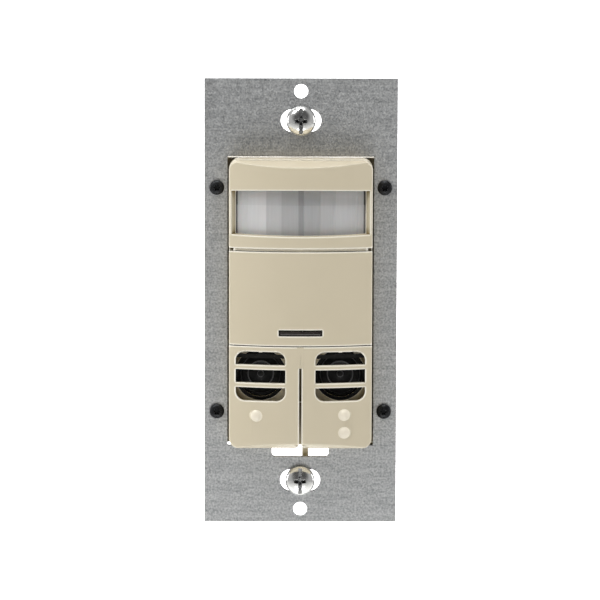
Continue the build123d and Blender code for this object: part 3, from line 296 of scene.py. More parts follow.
def turned(name, profile, sectors=48):
    """Turn a profile of (radius, y) points in mm about the y axis into a closed mesh."""
    rings = []
    for radius, y in profile:
        angles = [2 * math.pi * index / sectors for index in range(sectors)]
        rings.append([(radius * math.cos(a) * MM, y * MM, radius * math.sin(a) * MM) for a in angles])
    return ring_mesh(name, rings, (0, profile[0][1] * MM, 0), (0, profile[-1][1] * MM, 0))


def prism(name, outline, front, back, back_share=1.0):
    """Extrude an outline of (x, z) points in mm from y = front to y = back, narrowed to back_share there."""
    mesh_edit = bmesh.new()
    near = [mesh_edit.verts.new((x * MM, front * MM, z * MM)) for x, z in outline]
    far = [mesh_edit.verts.new((x * back_share * MM, back * MM, z * back_share * MM)) for x, z in outline]
    mesh_edit.faces.new(near)
    mesh_edit.faces.new(list(reversed(far)))
    for index in range(len(near)):
        following = (index + 1) % len(near)
        mesh_edit.faces.new((near[following], near[index], far[index], far[following]))
    bmesh.ops.recalc_face_normals(mesh_edit, faces=mesh_edit.faces)
    mesh = bpy.data.meshes.new(name)
    mesh_edit.to_mesh(mesh)
    mesh_edit.free()
    return mesh


def carve(mesh, cutters, edge):
    """Cut prisms out of a mesh, round the edges that the cuts leave, and give back the finished mesh."""
    block = bpy.data.objects.new("block", mesh)
    scene.collection.objects.link(block)
    tools = []
    for cutter in cutters:
        tool = bpy.data.objects.new("cutter", cutter)
        scene.collection.objects.link(tool)
        tools.append(tool)
        cut = block.modifiers.new("cut", "BOOLEAN")
        cut.operation = "DIFFERENCE"
        cut.solver = "EXACT"
        cut.object = tool
    bevel = block.modifiers.new("edge", "BEVEL")
    bevel.width = edge * MM
    bevel.segments = 2
    bevel.limit_method = "ANGLE"
    bevel.angle_limit = math.radians(40)
    bpy.context.view_layer.update()
    evaluated = block.evaluated_get(bpy.context.evaluated_depsgraph_get())
    result = bpy.data.meshes.new_from_object(evaluated)
    for thing in (block, *tools):
        bpy.data.objects.remove(thing)
    return result


def merged(name, parts):
    """Put several meshes, each moved by its own offset in mm, into one mesh."""
    mesh_edit = bmesh.new()
    for mesh, offset in parts:
        moved = mesh.copy()
        moved.transform(Matrix.Translation(Vector(offset) * MM))
        mesh_edit.from_mesh(moved)
        bpy.data.meshes.remove(moved)
    result = bpy.data.meshes.new(name)
    mesh_edit.to_mesh(result)
    mesh_edit.free()
    return result


def threaded_shank(name, neck, front, start, stop, root, crest, pitch, point, sectors=32):
    """A shank along y in mm: a plain neck from front to start, then a helical thread up to stop."""
    rows_per_turn = 8
    angles = [2 * math.pi * index / sectors for index in range(sectors)]
    rings = []
    for y in (front, start):
        rings.append([(neck * math.cos(a) * MM, y * MM, neck * math.sin(a) * MM) for a in angles])
    row_count = int((stop - start) / pitch * rows_per_turn)
    for row in range(1, row_count + 1):
        y = start + (stop - start) * row / row_count
        limit = min(neck + (y - start), point + (stop - y))
        ring = []
        for index, angle in enumerate(angles):
            phase = (y / pitch - index / sectors) % 1
            rise = min(1, 1.5 * (1 - abs(2 * phase - 1)))
            radius = min(root + (crest - root) * rise, limit)
            ring.append((radius * math.cos(angle) * MM, y * MM, radius * math.sin(angle) * MM))
        rings.append(ring)
    return ring_mesh(name, rings, (0, front * MM, 0), (0, stop * MM, 0))


def domed_profile(radius, front, crown, back, steps=14):
    """Points of a domed screw head in mm, from its middle out to its rim and back to its seat."""
    points = []
    for step in range(1, steps + 1):
        out = math.sin(math.radians(90) * step / steps)
        points.append((radius * out, front + crown * (1 - (1 - out**2.6) ** 0.5)))
    return [*points, (radius, back)]


screw_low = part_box("mounting_screws")[0] / MM
screw_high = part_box("mounting_screws")[1] / MM
head_radius = screw_high.x
head_front = screw_low.y
head_crown = 1.7
slot_half_width = 0.43
slot_floor = head_front + 0.75
cross_reach = 1.62
cross_half_width = 0.42
cross_floor = head_front + 1.5
cross_taper = 0.45
diamond_reach = 1.2
diamond_taper = 0.2
cutter_lead = 0.3
recess_edge = 0.05
recess_shade_reach = 0.9
neck_radius = 1.4
thread_start = 1.1
thread_root = 1.34
thread_crest = 1.75
thread_pitch = 0.794
point_radius = 1.15

slot_outline = [
    (-slot_half_width, -2 * head_radius),
    (slot_half_width, -2 * head_radius),
    (slot_half_width, 2 * head_radius),
    (-slot_half_width, 2 * head_radius),
]
cross_outline = []
for turn in range(4):
    angle = math.radians(90 * turn)
    for along, across in (
        (cross_reach, -cross_half_width),
        (cross_reach, cross_half_width),
        (cross_half_width, cross_half_width),
    ):
        corner_x = along * math.cos(angle) - across * math.sin(angle)
        corner_z = along * math.sin(angle) + across * math.cos(angle)
        cross_outline.append((corner_x, corner_z))
diamond_outline = [(diamond_reach, 0), (0, diamond_reach), (-diamond_reach, 0), (0, -diamond_reach)]

bright_zinc, bright_shader = start_material("bright_zinc_plating", "#DDDEDC", 0.16, 1.0)
link(bright_zinc, bright_shader, "Roughness", spread(bright_zinc, grain(bright_zinc, 0.6), 0.1, 0.26))
# Painted shade: the recess is painted near black, and darker the deeper it lies.
painted_recess_shade = add_node(
    bright_zinc, "ShaderNodeAmbientOcclusion", {"Distance": recess_shade_reach * MM}
).outputs["AO"]
bright_body = blend_colours(bright_zinc, painted_recess_shade, ("#0A0A0C", "#C8C9CA", "#F2F2F0"), (0.3, 0.6, 0.76))
link(bright_zinc, bright_shader, "Base Color", bright_body)
set_bump(bright_zinc, bright_shader, grain(bright_zinc, 0.5, 2.0), 0.006)

screw_head = carve(
    turned("screw_head", domed_profile(head_radius, head_front, head_crown, strap_low.y), 64),
    [
        prism("slot", slot_outline, head_front - cutter_lead, slot_floor),
        prism("cross", cross_outline, head_front - cutter_lead, cross_floor, cross_taper),
        prism("diamond", diamond_outline, head_front - cutter_lead, cross_floor, diamond_taper),
    ],
    recess_edge,
)
screw_shank = threaded_shank(
    "screw_shank",
    neck_radius,
    strap_low.y,
    thread_start,
    screw_high.y,
    thread_root,
    thread_crest,
    thread_pitch,
    point_radius,
)
screw_places = [(0, 0, side * box_screw_z) for side in (-1, 1)]
screws_mesh = merged(
    "box_screws", [(part, place) for place in screw_places for part in (screw_head, screw_shank)]
)
place_piece(
    "box_screws", screws_mesh, bright_zinc, "switch_housing", "bright_screw_steel", "mounting_screws"
).modifiers.new("even_normals", "WEIGHTED_NORMAL")

# Washers of red vulcanised fibre, punched from sheet, that sit on the box screws' necks behind the strap.
fibre, fibre_shader = start_material("vulcanised_fibre", "#7C3B2C", 0.7)
link(fibre, fibre_shader, "Base Color", blend_colours(fibre, grain(fibre, 0.5, 6.0), ("#6B3024", "#8F4A38")))
set_bump(fibre, fibre_shader, grain(fibre, 0.25), 0.02)
dress(fibre, "screw_retainers")
soften(0.08, "screw_retainers")


# Housing screws: small thread-forming screws of blackened steel with a domed head and a six-lobe recess. The
# black oxide is thin, so the dome keeps a dull steel sheen. The recess is painted solid black: painted shade.
black_screw_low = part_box("housing_screws")[0] / MM
black_screw_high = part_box("housing_screws")[1] / MM
black_head_radius = black_screw_high.x - housing_screw_x
black_head_crown = 0.75
lobe_points = 72
lobe_middle = 0.7
lobe_swing = 0.13
lobe_depth = 0.72
lobe_edge = 0.03
lobe_shade_reach = 0.5
dimple_circle = 1.24
dimple_radius = 0.11
dimple_depth = 0.26
black_neck_radius = 0.85
black_thread_root = 0.8
black_thread_crest = 1.1
black_thread_pitch = 1.0
black_point_radius = 0.5

lobe_outline = []
for step in range(lobe_points):
    angle = 2 * math.pi * step / lobe_points
    reach = lobe_middle + lobe_swing * math.cos(6 * angle)
    lobe_outline.append((reach * math.cos(angle), reach * math.sin(angle)))
black_front = black_screw_low.y
black_cutters = [prism("lobes", lobe_outline, black_front - cutter_lead, black_front + lobe_depth)]
for step in range(6):
    angle = math.radians(60 * step + 30)
    middle = (dimple_circle * math.cos(angle), dimple_circle * math.sin(angle))
    dimple_outline = circle(middle, dimple_radius, 8)
    black_cutters.append(prism("dimple", dimple_outline, black_front, black_front + dimple_depth))

black_oxide, oxide_shader = start_material("black_oxide_steel", "#303134", 0.34, 0.7)
# Painted shade: the six-lobe recess and the dimples are painted near black.
painted_lobe_shade = add_node(
    black_oxide, "ShaderNodeAmbientOcclusion", {"Distance": lobe_shade_reach * MM}
).outputs["AO"]
oxide_body = blend_colours(black_oxide, painted_lobe_shade, ("#030303", "#222325"), (0.45, 0.9))
link(black_oxide, oxide_shader, "Base Color", oxide_body)
link(black_oxide, oxide_shader, "Roughness", spread(black_oxide, grain(black_oxide, 0.3), 0.28, 0.48))
black_head = carve(
    turned("black_head", domed_profile(black_head_radius, black_front, black_head_crown, strap_low.y), 48),
    black_cutters,
    lobe_edge,
)
black_shank = threaded_shank(
    "black_shank",
    black_neck_radius,
    strap_low.y,
    strap_high.y,
    black_screw_high.y,
    black_thread_root,
    black_thread_crest,
    black_thread_pitch,
    black_point_radius,
    24,
)
black_places = [(side * housing_screw_x, 0, height) for side in (-1, 1) for height in housing_screw_heights]
black_mesh = merged(
    "six_lobe_screws", [(part, place) for place in black_places for part in (black_head, black_shank)]
)
place_piece(
    "six_lobe_screws", black_mesh, black_oxide, "switch_housing", "black_screw_steel", "housing_screws"
).modifiers.new("even_normals", "WEIGHTED_NORMAL")


# Front housing, control cover and buttons: one batch of ivory ABS, injection moulded in a finely spark-eroded
# tool, with a satin surface and slightly round edges. The pale lines along the edges, the pale dots and the
# dark corners follow the photograph. The material paints them into the colour: painted highlights along
# the edges and on the dots, and painted shade in the corners and grooves. The light adds its own.
corner_shade_reach = 2.2
edge_highlight_reach = 0.48
rounded_edge = 0.22
dot_places = ((-10.0, -25.25), (10.0, -25.0), (10.0, -29.1))
dot_reach = 1.36

ivory, ivory_shader = start_material("ivory_abs", "#D9CDB2", 0.42, 0.0, 1.53)
ivory_mottle = grain(ivory, 7.0, 2.0)
# Painted shade: the colour runs to dark brown in corners, creases, grooves and gaps.
painted_corner_shade = add_node(ivory, "ShaderNodeAmbientOcclusion", {"Distance": corner_shade_reach * MM}).outputs["AO"]
ivory_tone = add_node(
    ivory, "ShaderNodeMix", {"data_type": "FLOAT", "Factor": 0.1}, {"A": painted_corner_shade, "B": ivory_mottle}
).outputs["Result"]
ivory_colours = ("#2E2716", "#86754C", "#CDC2A8", "#CFC4AB")
ivory_body = blend_colours(ivory, ivory_tone, ivory_colours, (0.1, 0.5, 0.9, 0.98))
link(ivory, ivory_shader, "Roughness", spread(ivory, grain(ivory, 0.6), 0.38, 0.48))
ivory_edges = add_node(
    ivory, "ShaderNodeBevel", {"samples": 8, "Radius": rounded_edge * MM}
).outputs["Normal"]
# Painted highlights: the colour runs to near white within half a millimetre of the edges.
edge_highlight_mask = add_node(
    ivory,
    "ShaderNodeAmbientOcclusion",
    {"inside": True, "only_local": True, "Distance": edge_highlight_reach * MM},
).outputs["AO"]
painted_edge_highlight = spread(ivory, edge_highlight_mask, 1.0, 0, (0.58, 0.94))
# Sockets 6 and 7 of a colour Mix node are its two colours, and output 2 is their mix.
edged_body = add_node(
    ivory, "ShaderNodeMix", {"data_type": "RGBA", 7: linear("#FFFAEC")}, {"Factor": painted_edge_highlight, 6: ivory_body}
).outputs[2]
# Painted highlights on the raised dots: a paler colour within a circle round each dot's middle.
ivory_place = add_node(ivory, "ShaderNodeTexCoord").outputs["Object"]
flat_place = add_node(
    ivory, "ShaderNodeVectorMath", {"operation": "MULTIPLY", 1: (1, 0, 1)}, {0: ivory_place}
).outputs["Vector"]
# The dots' places count on every ivory part, but only the buttons show there.
painted_dot_highlight = None
for x, z in dot_places:
    reach = add_node(
        ivory, "ShaderNodeVectorMath", {"operation": "DISTANCE", 1: (x * MM, 0, z * MM)}, {0: flat_place}
    ).outputs["Value"]
    near = add_node(
        ivory, "ShaderNodeMath", {"operation": "LESS_THAN", 1: dot_reach * MM}, {0: reach}
    ).outputs["Value"]
    if painted_dot_highlight:
        either = {0: near, 1: painted_dot_highlight}
        near = add_node(ivory, "ShaderNodeMath", {"operation": "MAXIMUM"}, either).outputs["Value"]
    painted_dot_highlight = near
dotted_body = add_node(
    ivory, "ShaderNodeMix", {"data_type": "RGBA", 7: linear("#ECE3CF")}, {"Factor": painted_dot_highlight, 6: edged_body}
).outputs[2]
link(ivory, ivory_shader, "Base Color", dotted_body)
ivory_shader.inputs["Specular IOR Level"].default_value = 0.7
set_bump(ivory, ivory_shader, grain(ivory, 0.3, 3.0), 0.005, ivory_edges)
dress(ivory, "front_housing", "control_cover", "left_button", "right_button")
soften(0.12, "front_housing", "control_cover")
soften(0.1, "left_button", "right_button")

# The lower panel is one moulding above its slit, but the solids have two halves. A web of the same ABS hides
# their seam, level with their faces. It has no painted highlights along its edges, because the real
# moulding has no edge there.
cover_low, cover_high = (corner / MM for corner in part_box("control_cover"))
button_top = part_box("left_button")[1].z / MM
slit_top = -14.18
web_set_back = 0.04
web_half_width = 0.75
web_depth = 1.1
web_outline = [
    (-web_half_width, slit_top + web_set_back),
    (web_half_width, slit_top + web_set_back),
    (web_half_width, button_top - web_set_back),
    (-web_half_width, button_top - web_set_back),
]
flat_ivory = ivory.copy()
flat_ivory.name = "ivory_abs_web"
flat_tree = flat_ivory.node_tree
flat_body = flat_tree.nodes[ivory_body.node.name].outputs["Color"]
flat_shader = flat_tree.nodes[ivory_shader.name]
flat_tree.links.new(flat_body, flat_shader.inputs["Base Color"])
flat_tree.nodes[ivory_edges.node.name].inputs["Radius"].default_value = 0
web_mesh = prism("panel_web", web_outline, cover_low.y, cover_low.y + web_depth)
place_piece("panel_web", web_mesh, flat_ivory, "switch_housing", "ivory_plastic")

# A small block of the same ABS hides the gap that the solids leave at the lower right corner of the strap's
# opening. The photograph shows the wall at the lower left corner only. A lug of the flange is a guess.
lug_left = 15.0
lug_right = 17.3
lug_low = -34.0
lug_high = -32.8
lug_front = 0.06
lug_back = 1.0
lug_outline = [(lug_left, lug_low), (lug_right, lug_low), (lug_right, lug_high), (lug_left, lug_high)]
lug_mesh = prism("corner_lug", lug_outline, lug_front, lug_back)
place_piece("corner_lug", lug_mesh, ivory, "switch_housing", "ivory_plastic")

# The groove between the window's rail and the cover holds a paler band that ends in a bright stop on each
# side, before the dark ends of the groove. It is made as a ledge of the housing, which is a guess.
bow_edge_y = -8.6
bow_depth = bow_edge_y - cover_low.y
bow_radius = (cover_high.x**2 + bow_depth**2) / (2 * bow_depth)
bow_middle_y = cover_low.y + bow_radius
ledge_half_width = 14.9
ledge_stop = 0.4
ledge_overlap = 0.05
ledge_low_z = cover_high.z + 0.13
ledge_high_z = 13.2
ledge_set_back = 0.38
ledge_stop_set_back = 0.15
ledge_depth = 0.9
ledge_edge = 0.06


def bow_y(x, inset):
    """Depth in mm of the bowed face at x, set back square to the face by inset."""
    return bow_middle_y - math.sqrt((bow_radius - inset) ** 2 - x**2)


def bowed_bar(name, left, right, low_z, high_z, set_back, depth, columns):
    """A bar across the bowed face, in mm, set back from it, as one closed mesh."""
    mesh_edit = bmesh.new()
    rings = []
    for column in range(columns + 1):
        x = left + (right - left) * column / columns
        front = bow_y(x, set_back)
        corners = ((front, low_z), (front, high_z), (front + depth, high_z), (front + depth, low_z))
        rings.append([mesh_edit.verts.new((x * MM, y * MM, z * MM)) for y, z in corners])
    mesh_edit.faces.new(rings[0])
    mesh_edit.faces.new(rings[-1])
    for near, far in zip(rings, rings[1:]):
        for corner in range(4):
            following = (corner + 1) % 4
            mesh_edit.faces.new((near[corner], near[following], far[following], far[corner]))
    bmesh.ops.recalc_face_normals(mesh_edit, faces=mesh_edit.faces)
    mesh = bpy.data.meshes.new(name)
    mesh_edit.to_mesh(mesh)
    mesh_edit.free()
    return mesh


ledge_ends = (-ledge_half_width, ledge_half_width)
ledge_heights = (ledge_low_z, ledge_high_z)
ledge_parts = [bowed_bar("ledge", *ledge_ends, *ledge_heights, ledge_set_back, ledge_depth, 40)]
for side in (-1, 1):
    ends = sorted((side * (ledge_half_width - ledge_overlap), side * (ledge_half_width + ledge_stop)))
    ledge_parts.append(bowed_bar("stop", *ends, *ledge_heights, ledge_stop_set_back, ledge_depth, 2))
ledge_mesh = merged("groove_ledge", [(part, (0, 0, 0)) for part in ledge_parts])
groove_ledge = place_piece("groove_ledge", ledge_mesh, ivory, "switch_housing", "ivory_plastic")
ledge_edges = groove_ledge.modifiers.new("soft_edges", "BEVEL")
ledge_edges.width = ledge_edge * MM
ledge_edges.segments = 2
ledge_edges.limit_method = "ANGLE"

# A thin bar of the same ABS behind the seam between the cover and the panel, almost as wide as the deck. The
# photograph doesn't show it, and it isn't known whether the real switch has one.
rib_half_width = 15.2
rib_gap = 0.03
rib_set_back = 0.6
rib_depth = 0.5
rib_heights = (button_top + rib_gap, cover_low.z - rib_gap)
rib_mesh = bowed_bar("seam_rib", -rib_half_width, rib_half_width, *rib_heights, rib_set_back, rib_depth, 40)
place_piece("seam_rib", rib_mesh, flat_ivory, "switch_housing", "ivory_plastic")


# Lens: a sheet of milky polyethylene 0.6 mm thick, pressed with upright strips of fine prisms and bowed into
# the window. Each strip has one tone, darkest in the middle, set to look as in the photograph.
lens_low, lens_high = (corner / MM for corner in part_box("fresnel_lens"))
lens_inset = lens_low.y - cover_low.y
lens_thickness = 0.6
strip_edges = (
    lens_low.x, -14.4, -13.36, -11.92, -7.85, -4.38, -0.55, 0.77, 4.48, 7.96, 12.39, 13.1, 14.3, lens_high.x
)
# The strip tones are painted light and shade: darkest in the middle strips, and near black in the outermost
# strips, a painted shadow where the lens meets the jambs.
painted_strip_tones = (0.0, 0.59, 0.62, 0.66, 0.43, 0.295, 0.12, 0.265, 0.39, 0.475, 0.52, 0.49, 0.0)
strip_columns = 6
strip_tilt = 0.1
ridge_rise = 0.05
tier_heights = (lens_low.z, 19.2, 22.9, lens_high.z)
# Painted shade: the top tier is darker, as under the hood, and the lower tiers a little paler.
painted_tier_tones = (0.02, 0.03, -0.05)

lens_columns = []
for left, right, tone in zip(strip_edges, strip_edges[1:], painted_strip_tones):
    outward = 1 if left + right > 0 else -1
    for column in range(strip_columns):
        share = column / strip_columns
        height = strip_tilt * (share if outward > 0 else 1 - share)
        rise = ridge_rise if column == 0 else 0
        lens_columns.append((left + (right - left) * share, height - rise, tone))
lens_columns.append((lens_high.x, 0, painted_strip_tones[-1]))
lens_edit = bmesh.new()
tone_layer = lens_edit.faces.layers.float.new("strip_tone")
front_rows = []
back_rows = []
for height in tier_heights:
    front_rows.append(
        [
            lens_edit.verts.new((x * MM, (bow_y(x, lens_inset) + max(0, sink)) * MM, height * MM))
            for x, sink, _ in lens_columns
        ]
    )
    back_rows.append(
        [
            lens_edit.verts.new((x * MM, bow_y(x, lens_inset + lens_thickness) * MM, height * MM))
            for x, _, _ in lens_columns
        ]
    )
for row, tier_tone in enumerate(painted_tier_tones):
    for column in range(len(lens_columns) - 1):
        corners = ((row, column), (row, column + 1), (row + 1, column + 1), (row + 1, column))
        front_face = lens_edit.faces.new([front_rows[r][c] for r, c in corners])
        front_face[tone_layer] = lens_columns[column][2] + tier_tone
        back_face = lens_edit.faces.new([back_rows[r][c] for r, c in reversed(corners)])
        back_face[tone_layer] = lens_columns[column][2]
last_column = len(lens_columns) - 1
for row in range(len(tier_heights) - 1):
    for column in (0, last_column):
        front_pair = (front_rows[row][column], front_rows[row + 1][column])
        back_pair = (back_rows[row + 1][column], back_rows[row][column])
        lens_edit.faces.new((*front_pair, *back_pair))
for column in range(last_column):
    for row in (0, len(tier_heights) - 1):
        first_pair = (front_rows[row][column], back_rows[row][column])
        next_pair = (back_rows[row][column + 1], front_rows[row][column + 1])
        lens_edit.faces.new((*first_pair, *next_pair))
bmesh.ops.recalc_face_normals(lens_edit, faces=lens_edit.faces)
lens_mesh = bpy.data.meshes.new("strip_lens")
lens_edit.to_mesh(lens_mesh)
lens_edit.free()

milky, milky_shader = start_material("milky_polyethylene", "#A0A0A0", 0.36, 0.0, 1.51)
strip_tone = add_node(milky, "ShaderNodeAttribute", {"attribute_name": "strip_tone"}).outputs["Fac"]
streaks = grain(milky, 0.5, 4.0, (1, 1, 0.06))
# Painted shade: the lens is darker near the hood, the jambs and the rail.
lens_shade_reach = 1.5
painted_lens_shade = add_node(
    milky, "ShaderNodeAmbientOcclusion", {"Distance": lens_shade_reach * MM}
).outputs["AO"]
streaky_tone = add_node(
    milky, "ShaderNodeMix", {"data_type": "FLOAT", "Factor": 0.12}, {"A": strip_tone, "B": streaks}
).outputs["Result"]
shaded_tone = add_node(
    milky, "ShaderNodeMath", {"operation": "MULTIPLY"}, {0: streaky_tone, 1: painted_lens_shade}
).outputs["Value"]
milky_body = blend_colours(milky, shaded_tone, ("#3C3A38", "#8C8C8D", "#E2E2E2"), (0.0, 0.1, 0.86))
link(milky, milky_shader, "Base Color", milky_body)
milky_shader.inputs["Subsurface Weight"].default_value = 0.15
milky_shader.inputs["Subsurface Scale"].default_value = 0.6 * MM
set_bump(milky, milky_shader, streaks, 0.01)
place_piece("strip_lens", lens_mesh, milky, "switch_housing", "lens_polyethylene", "fresnel_lens")


# Indicator window: a bar of smoked polycarbonate, polished, that hides the lamps until they light. A second
# bar with round edges, a little behind the cover's face, is a guess at its front.
glass_half_width = 4.7
glass_half_height = 0.42
glass_set_back = 0.2
glass_depth = 0.4
glass_edge = 0.16

smoked, smoked_shader = start_material("smoked_polycarbonate", "#2A2623", 0.12, 0.0, 1.58)
link(smoked, smoked_shader, "Roughness", spread(smoked, grain(smoked, 0.7), 0.08, 0.2))
link(smoked, smoked_shader, "Base Color", blend_colours(smoked, grain(smoked, 1.0), ("#211E1C", "#35302C")))
dress(smoked, "indicator_window")
soften(0.1, "indicator_window")
glass_low, glass_high = (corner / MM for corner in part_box("indicator_window"))
glass_middle_z = (glass_low.z + glass_high.z) / 2
glass_ends = (-glass_half_width, glass_half_width)
glass_heights = (glass_middle_z - glass_half_height, glass_middle_z + glass_half_height)
glass_mesh = bowed_bar("indicator_glass", *glass_ends, *glass_heights, glass_set_back, glass_depth, 16)
indicator_glass = place_piece("indicator_glass", glass_mesh, smoked, "control_cover", "smoked_plastic")
glass_edges = indicator_glass.modifiers.new("soft_edges", "BEVEL")
glass_edges.width = glass_edge * MM
glass_edges.segments = 3
glass_edges.limit_method = "ANGLE"

# Ultrasonic transducers: black-coated aluminium cups with a ring and a hub pressed into the front. Each cup
# is pushed into a rubber sleeve. The material paints the edges grey, as painted highlights, after the faint
# rings in the photograph.
rim_highlight_reach = 0.35
cup_black, cup_shader = start_material("black_coated_aluminium", "#080808", 0.38, 0.0, 1.35)
cup_body = blend_colours(cup_black, grain(cup_black, 0.5), ("#040404", "#0A0A0A"))
# Painted highlights: the colour runs to grey within this reach of the cups' edges.
cup_edge_mask = add_node(
    cup_black,
    "ShaderNodeAmbientOcclusion",
    {"inside": True, "only_local": True, "Distance": rim_highlight_reach * MM},
).outputs["AO"]
painted_rim_highlight = spread(cup_black, cup_edge_mask, 0.9, 0, (0.5, 0.95))
rim_highlight_colour = {"data_type": "RGBA", 7: linear("#6A6A6C")}
highlighted_cup_body = add_node(cup_black, "ShaderNodeMix", rim_highlight_colour, {"Factor": painted_rim_highlight, 6: cup_body}).outputs[2]
link(cup_black, cup_shader, "Base Color", highlighted_cup_body)
link(cup_black, cup_shader, "Roughness", spread(cup_black, grain(cup_black, 0.3), 0.3, 0.5))
dress(cup_black, "ultrasonic_transmitter", "ultrasonic_receiver")
soften(0.06, "ultrasonic_transmitter", "ultrasonic_receiver")

# Rubber: moulded EPDM sleeves round the transducers and the grommet for the leads, matt and slightly grainy.
rubber, rubber_shader = start_material("black_epdm_rubber", "#0C0C0C", 0.8, 0.0, 1.4)
link(rubber, rubber_shader, "Base Color", blend_colours(rubber, grain(rubber, 0.8), ("#080808", "#121212")))
set_bump(rubber, rubber_shader, grain(rubber, 0.2), 0.012)
dress(rubber, "transducer_sleeves", "lead_grommet")
soften(0.1, "transducer_sleeves")
soften(0.2, "lead_grommet")

# Dark rings: thin black rings round the mouths of the two wells, cut as from sheet. They stand in for the
# shade there: painted shade. They are a guess, because the photograph only shows the wells dark.
well_x = 9.1
well_z = -16.15
dark_ring_radius = 5.85
dark_ring_bore = 5.1
dark_ring_front = -7.43
dark_ring_thickness = 0.3
dark_ring_edge = 0.08
dark_ring_parts = []
for side in (-1, 1):
    middle = (side * well_x, well_z)
    dark_ring_outlines = [circle(middle, dark_ring_radius, 60), circle(middle, dark_ring_bore, 60)]
    dark_ring = stamping("dark_ring", dark_ring_outlines, dark_ring_front, dark_ring_thickness, dark_ring_edge)
    dark_ring_parts.append((dark_ring, (0, 0, 0)))
place_piece("dark_well_rings", merged("dark_well_rings", dark_ring_parts), rubber, "switch_housing", "black_rubber")

# Shade strips: a thin bowed black strip behind the upper edge of each grille, which stands in for the shade
# there: painted shade. They are a guess, because the photograph only shows that part of the wells almost
# black. No mesh is drawn on them.
shade_strip_inner_x = 3.6
shade_strip_outer_x = 14.6
shade_strip_heights = (-12.1, -11.2)
shade_strip_set_back = 1.25
shade_strip_depth = 0.15
for side, name in ((-1, "left"), (1, "right")):
    ends = sorted((side * shade_strip_inner_x, side * shade_strip_outer_x))
    strip = bowed_bar(f"{name}_dark_shade_strip", *ends, *shade_strip_heights, shade_strip_set_back, shade_strip_depth, 16)
    place_piece(f"{name}_dark_shade_strip", strip, rubber, f"{name}_button", "black_rubber")


# Plastics inside: plain moulded grades, each with the slight unevenness of its moulding.
def moulded(name, dark, light, roughness, names, ior=1.53, edge=0.08):
    """A moulded plastic that varies between two colours, on CAD nodes with softened edges."""
    material, shader = start_material(name, light, roughness, 0.0, ior)
    link(material, shader, "Base Color", blend_colours(material, grain(material, 1.2, 3.0), (dark, light)))
    gloss = spread(material, grain(material, 0.5), roughness - 0.05, roughness + 0.07)
    link(material, shader, "Roughness", gloss)
    set_bump(material, shader, grain(material, 0.25, 2.0), 0.004)
    dress(material, *names)
    soften(edge, *names)


rotor_names = [name for name in nodes if name.startswith("trimmer_rotor_")]
slider_names = [name for name in nodes if name.startswith("dip_slider_")]
grey_names = ["lens_retainer", "left_blinder", "right_blinder", "film_capacitor"]
moulded("grey_nylon", "#4A4A4C", "#565659", 0.5, grey_names)
moulded("white_nylon", "#D2D2CD", "#E2E2DE", 0.45, [*rotor_names, *slider_names, "pir_spacer"])
moulded("white_plunger_acetal", "#CFCFCA", "#DEDEDA", 0.35, ["left_switch_plunger", "right_switch_plunger"])
moulded("blue_pbt", "#123E86", "#1C4F9E", 0.35, ["trimmer_bodies"])
moulded("red_pbt", "#8E1B14", "#A5251C", 0.35, ["dip_switch_body"])
moulded(
    "black_pbt",
    "#151516",
    "#222224",
    0.4,
    ["tact_switch_bodies", "link_socket", "link_header", "relay_cases", "relay_bases", "bridge_rectifier"],
)
moulded("black_epoxy", "#121213", "#1D1D1F", 0.55, ["microcontroller"])
moulded("black_sleeving", "#1A1C22", "#262932", 0.3, ["bulk_capacitor"])
moulded("orange_epoxy_dip", "#B45A12", "#D0701C", 0.25, ["varistor"], 1.55, 0.3)

# Clear parts: polycarbonate light guide, lamps and light sensor in clear epoxy.
clear, clear_shader = start_material("clear_polycarbonate", "#E4EAEC", 0.08, 0.0, 1.58)
clear_shader.inputs["Transmission Weight"].default_value = 0.85
link(clear, clear_shader, "Roughness", spread(clear, grain(clear, 0.8), 0.05, 0.14))
dress(clear, "light_guide", "indicator_leds", "light_sensor")
soften(0.08, "light_guide", "indicator_leds", "light_sensor")


# Metals inside: nickel-plated sensor can, plain steel screws, pins and yokes, brass pins and contacts.
def plated(name, dark, light, roughness, names, edge=0.05):
    """A metal whose brightness and gloss vary a little, on CAD nodes with softened edges."""
    material, shader = start_material(name, light, roughness, 1.0)
    link(material, shader, "Base Color", blend_colours(material, grain(material, 0.8), (dark, light)))
    gloss = spread(material, grain(material, 0.4), roughness - 0.06, roughness + 0.08)
    link(material, shader, "Roughness", gloss)
    dress(material, *names)
    soften(edge, *names)


plated("nickel_plated_can", "#B4B1A8", "#C6C3BA", 0.25, ["pir_sensor_can"], 0.15)
plated(
    "plain_steel",
    "#9D9EA0",
    "#B4B5B7",
    0.35,
    [
        "blinder_pins",
        "board_screws",
        "power_board_screws",
        "relay_yokes",
        "left_relay_armature",
        "right_relay_armature",
    ],
)
plated("gold_flashed_brass", "#B8923F", "#D2AC55", 0.3, ["link_pins", "relay_contacts"])

# The sensor's filter is a polished silicon window, dark grey with a faint metallic mirror.
silicon, silicon_shader = start_material("coated_silicon", "#3A3A42", 0.1, 0.6)
silicon_body = blend_colours(silicon, grain(silicon, 1.5), ("#33333B", "#42424D"))
link(silicon, silicon_shader, "Base Color", silicon_body)
dress(silicon, "pir_filter")

